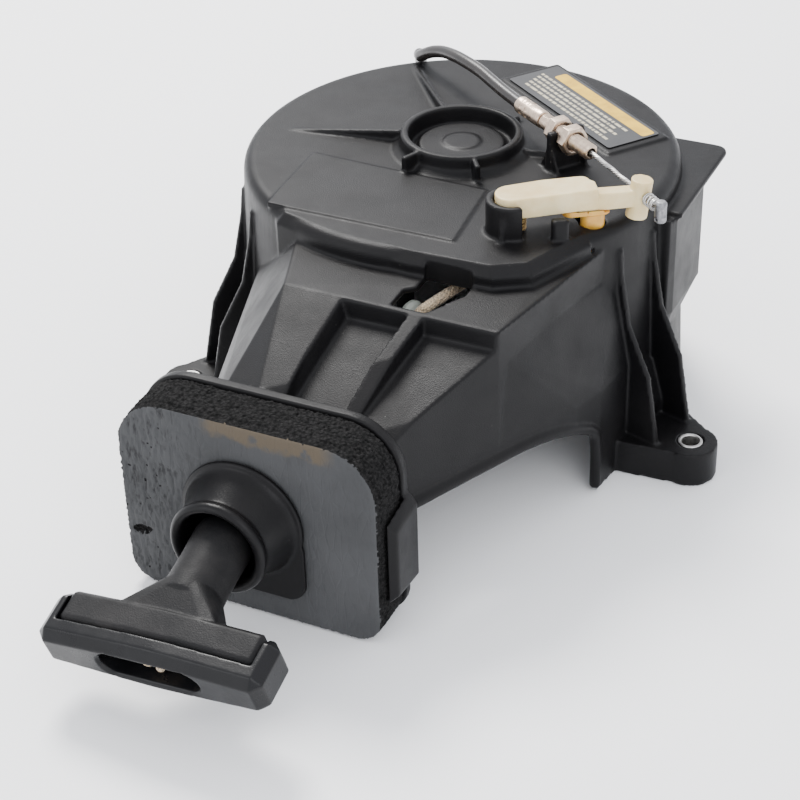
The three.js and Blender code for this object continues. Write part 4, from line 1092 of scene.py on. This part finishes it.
def label_plate():
    """Printed metal plate: a band along its long outer edge and rows of unreadable generic bars."""
    w, d = LABEL["size"][0] - 8, LABEL["size"][1] - 5
    z = COVER_TOP + 1.5
    parts = [(prism(rounded_rect(w, d, 1.5), z, z + 0.34), FILM)]
    band = place(prism(rounded_rect(w - 12, 7.4, 1.6), z + 0.3, z + 0.39), at=(4.5, d / 2 - 5.4, 0))
    parts.append((band, YELLOW))
    for row in range(5):
        y = d / 2 - 12.2 - 3.3 * row
        x = -w / 2 + 4 + 1.3 * row
        for k in range(30):
            length = 1.6 + 4.6 * abs(noise.noise((k * 1.7, row * 3.1, 0.4))) * 1.6
            if x + length > w / 2 - 7 - 5 * (row % 2):
                break
            parts.append((box(x, x + length, y - 0.8, y + 0.8, z + 0.3, z + 0.38), CREAM_INK))
            x += length + 0.9
    plate = merged("plate", *parts)
    return place(plate, (0, 0, LABEL["deg"]), (*LABEL["at"], 0))


def collar(name):
    x, y = polar(FOOT_OFFSET, FOOT_ANGLES[name])
    profile = [(4.25, 0.5), (4.75, 0), (5.6, 0), (6, 0.4), (6, FOOT_T - 0.2), (5.6, FOOT_T + 0.2),
               (4.75, FOOT_T + 0.2), (4.25, FOOT_T - 0.3)]
    return place(turned(profile, 64), at=(x, y, 0))


def guide_roller():
    half, r = ROLLER["half"] - 0.3, ROLLER["r"]
    profile = [(2.6, -half), (r - 0.5, -half), (r, -half + 0.5), (r, -half + 2), (r - 1.1, -half + 3.6),
               (r - 1.6, -4), (r - 1.8, 0), (r - 1.6, 4), (r - 1.1, half - 3.6), (r, half - 2),
               (r, half - 0.5), (r - 0.5, half), (2.6, half)]
    return roller_place(turned(profile, 96))


piece(guide_clip(), "clip_ring", DARK_STEEL, "cover", "guide_clip", slot="steel")
piece(label_plate(), "label", None, "cover", "label_plate", slot="label")
for side in FOOT_ANGLES:
    piece(collar(side), "collar_sleeve_" + side, STEEL, "cover", "collar_" + side, slot="steel")


# ---------------------------------------------------------------- interlock lever
def on_lever(obj):
    heading = BOSS - PIVOT
    return place(obj, (0, 0, math.degrees(math.atan2(heading.y, heading.x))), PIVOT)


def interlock_lever():
    reach = (BOSS - PIVOT).length
    pad = (arc(0, 0, 7.6, 100, 285, 20) + [(12, -6.8), (39, -4.6), (39, 4)] + arc(33, 6.2, 4, 0, 90, 8)
           + [(15, 9.8)])
    bottom, top = LEVER_TOP - LEVER_T, LEVER_TOP
    rim = prism(pad, bottom, top)
    arm = hull([(x, s * y, z) for s in (-1, 1)
                for x, y, z in ((30, 4.4, 136), (30, 3.6, 144.2), (reach, 4, 136), (reach, 3.2, 143.6),
                                (30, 4.4, 139), (reach, 4, 139))])
    boss = place(post(0, 0, -9.4, 9.4, 5, sides=72), (0, 7, 0), (reach, 0, 138.6))
    body = on_lever(join([rim, arm, boss]))
    pin = post(PIVOT.x, PIVOT.y, 130, 143.8, 2.5)
    wire = aim(post(0, 0, -12, 12, 1.7), wire_point(BOSS_AT), WIRE_HEADING)
    return moulded(cut(body, [pin, wire]), LEVER_VOXEL, 4)


def stopper():
    reach = (TONGUE - PIVOT).length
    foot = place(prism(rounded_rect(22, 11, 4), 134, LEVER_TOP - LEVER_T - 0.3), at=(34, 0.2, 0))
    foot = cut(foot, [box(29, 60, -5, 5, 135.2, 140)])
    half_x, half_y = TONGUE_HALF
    tongue = place(prism(rounded_rect(2 * half_x, 2 * half_y, 3), 110, 135.2), at=(reach, 0, 0))
    return moulded(on_lever(join([foot, tongue])), STOPPER_VOXEL, 3)


def lever_pin():
    profile = [(0, 121.6), (4, 121.6), (4.2, 121.9), (4.2, 124), (3.9, 124.4), (2.2, 124.4), (2.2, 143),
               (1.8, 143.4), (0, 143.4)]
    return merged("pin", (place(turned(profile, 48), at=PIVOT), STEEL))


def coil_spring(r, wire, length, turns):
    """Compression spring with closed, flattened end coils."""
    count = round(turns * 30)
    line = []
    for i in range(count + 1):
        t = i / count
        ease = t - math.sin(2 * math.pi * t) / (2 * math.pi) * 0.55
        line.append((*polar(r, 360 * turns * t), length * ease))
    return tube(line, wire / 2, 12)


def inner_wire():
    """Twisted steel cable that waves slightly between the adjuster and the lever."""
    core = [wire_point(58)]
    steps = 60
    for i in range(steps + 1):
        d = TIP_AT + (NIPPLE_AT - 3.2 - TIP_AT) * i / steps
        wave = 0.22 * math.sin(i * 0.42) * math.sin(math.pi * i / steps)
        core.append(wire_point(d) + Vector((0.58, 0.81, 0)) * wave)
    strands = []
    heading = WIRE_HEADING.normalized()
    side = heading.cross(Vector((0, 0, 1))).normalized()
    up = side.cross(heading)
    fine = 260
    for k in range(6):
        strand = []
        for i in range(fine + 1):
            s = i / fine * (len(core) - 1)
            j = min(int(s), len(core) - 2)
            p = core[j].lerp(core[j + 1], s - j)
            a = 2 * math.pi * (k / 6 + (p - core[0]).length / 11)
            strand.append(p + (side * math.cos(a) + up * math.sin(a)) * 0.78)
        strands.append((tube(strand, 0.42, 6), STEEL))
    return merged("wire", *strands)


def wire_nipple():
    """Cast zinc end block with a flat and a cross hole, hanging below the wire."""
    at = wire_point(NIPPLE_AT)
    barrel = turned([(0, -6.4), (2.2, -6.4), (2.8, -5.6), (2.8, 3.1), (2, 4.1), (0, 4.3)], 64)
    flat = box(1.9, 5, -3, 3, -3.2, 1.2)
    body = cut(barrel, [flat, place(post(0, 0, -6, 6, 0.8), (90, 0, 0), (0, 0, -4.4))])
    return place(moulded(body, 0.3, 2), (0, 0, -30), at)


piece(guide_roller(), "roller", WHITE, "roller", "guide_roller", slot="white_nylon")
piece(interlock_lever(), "lever_moulding", NYLON, "lever", "interlock_lever", slot="cream_nylon")
piece(stopper(), "stopper_moulding", NYLON_PAINTED_SHADE, "lever", "stopper", slot="amber")
piece(lever_pin(), "pin_turned", None, "cover", "lever_pin", slot="steel")
piece(place(coil_spring(6.3, 1.1, 5.4, 4), at=(PIVOT.x, PIVOT.y, 129.4)), "return_spring", BRASS, "cover",
      "lever_spring", slot="brass")
piece(aim(coil_spring(2.7, 0.9, 6.4, 4.5), wire_point(BOSS_AT + 5.8), WIRE_HEADING), "tension_spring",
      STEEL, "lever", "nipple_spring", slot="steel")
piece(wire_nipple(), "nipple", GREY_ZINC, "lever", "wire_nipple", slot="zinc_grey")
wire = piece(inner_wire(), "wire_strands", None, None, "inner_wire", slot="steel")
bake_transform(wire)


# ---------------------------------------------------------------- cable adjuster
def on_cable(obj, d):
    return aim(obj, cable_axis(d), CABLE_DIRECTION)


def threaded(r, length, pitch, bore, bore_depth):
    """Bored rod with a real helical thread, chamfered at its ends."""
    sides, rows = 40, round(length / pitch * 8)
    rings = []
    for i in range(rows + 1):
        z = length * i / rows
        end = min(z, length - z)
        ring = []
        for j in range(sides):
            turn = (z / pitch - j / sides) % 1
            depth = 0.54 * pitch * abs(2 * turn - 1)
            here = min(r - depth * 0.9, r - 0.9 + end)
            ring.append((*polar(here, 360 * j / sides), z))
        rings.append(ring)
    rod = cut(loft("rod", rings), [post(0, 0, length - bore_depth, length + 1, bore)])
    return smooth_shaded(rod, ROUND_DEG)


def hex_nut(d0, d1):
    """Chamfered M8 nut with a washer face."""
    r = 7.5
    length = d1 - d0
    hexagon = prism([polar(r, a) for a in range(0, 360, 60)], 0, length)
    barrel = turned([(0, 0), (6.3, 0), (7.65, 0.8), (7.65, length - 0.8), (6.3, length), (0, length)], 96)
    nut = boolean(hexagon, [barrel], "INTERSECT")
    nut = cut(nut, [turned([(0, -1), (5, -1), (5, 0), (4.3, 0.7), (4.3, length - 0.7), (5, length),
                            (5, length + 1), (0, length + 1)], 64)])
    return on_cable(bevelled(nut, 0.22), d0)


def ferrule(length):
    """Crimped sleeve: rolled ends and two rows of crimp dents."""
    profile = [(3.4, 0.25), (3.9, 0), (4.3, 0.5), (4.3, length - 0.8), (4, length), (0, length)]
    body = turned([(0, 0.25), *profile], 96)
    dents = []
    for z in (length * 0.24, length * 0.47):
        for a in range(15, 375, 45):
            dents.append(place(box(4.02, 6, -0.9, 0.9, z - 1.1, z + 1.1), (0, 0, a)))
    return bevelled(cut(body, dents), 0.12)


piece(on_cable(ferrule(FERRULE[1] - FERRULE[0]), FERRULE[0]), "ferrule", ZINC, "cover", "crimp_ferrule",
      slot="yellow_zinc")
BARREL_AT = FERRULE[1] + 0.3
piece(on_cable(threaded(ADJUSTER_R, TIP_AT - BARREL_AT, 1.25, 2.4, 25), BARREL_AT), "threaded_barrel",
      ZINC, "cover", "adjuster_barrel", slot="yellow_zinc")
for side, start, end in (("rear", -8.3, -2.8), ("front", 2.8, 8.8)):
    piece(hex_nut(BRACKET_AT + start, BRACKET_AT + end), "nut_" + side, ZINC, "cover", "adjuster_nut_" + side,
          slot="yellow_zinc")


# ---------------------------------------------------------------- pieces kept as modelled in the CAD
KEPT = ((ROPE, "rope_winding"), (DRUM_PLASTIC, "sheave_drum"), (ZINC, "centre_bolt cable_end_fitting"),
        (STEEL, "sheave_bush pawl_spring_1 pawl_spring_2 friction_spring thrust_washer roller_pin "
                "knot_washer"),
        (DARK_STEEL, "rewind_spring drive_pawl_1 drive_pawl_2 pawl_clip_1 pawl_clip_2 cam_plate"))
CAD_EDGE_DEG = 38
for material, names in KEPT:
    for name in names.split():
        node = bpy.data.objects[name]
        node.data.materials.clear()
        node.data.materials.append(material)
        smooth_shaded(node, CAD_EDGE_DEG)
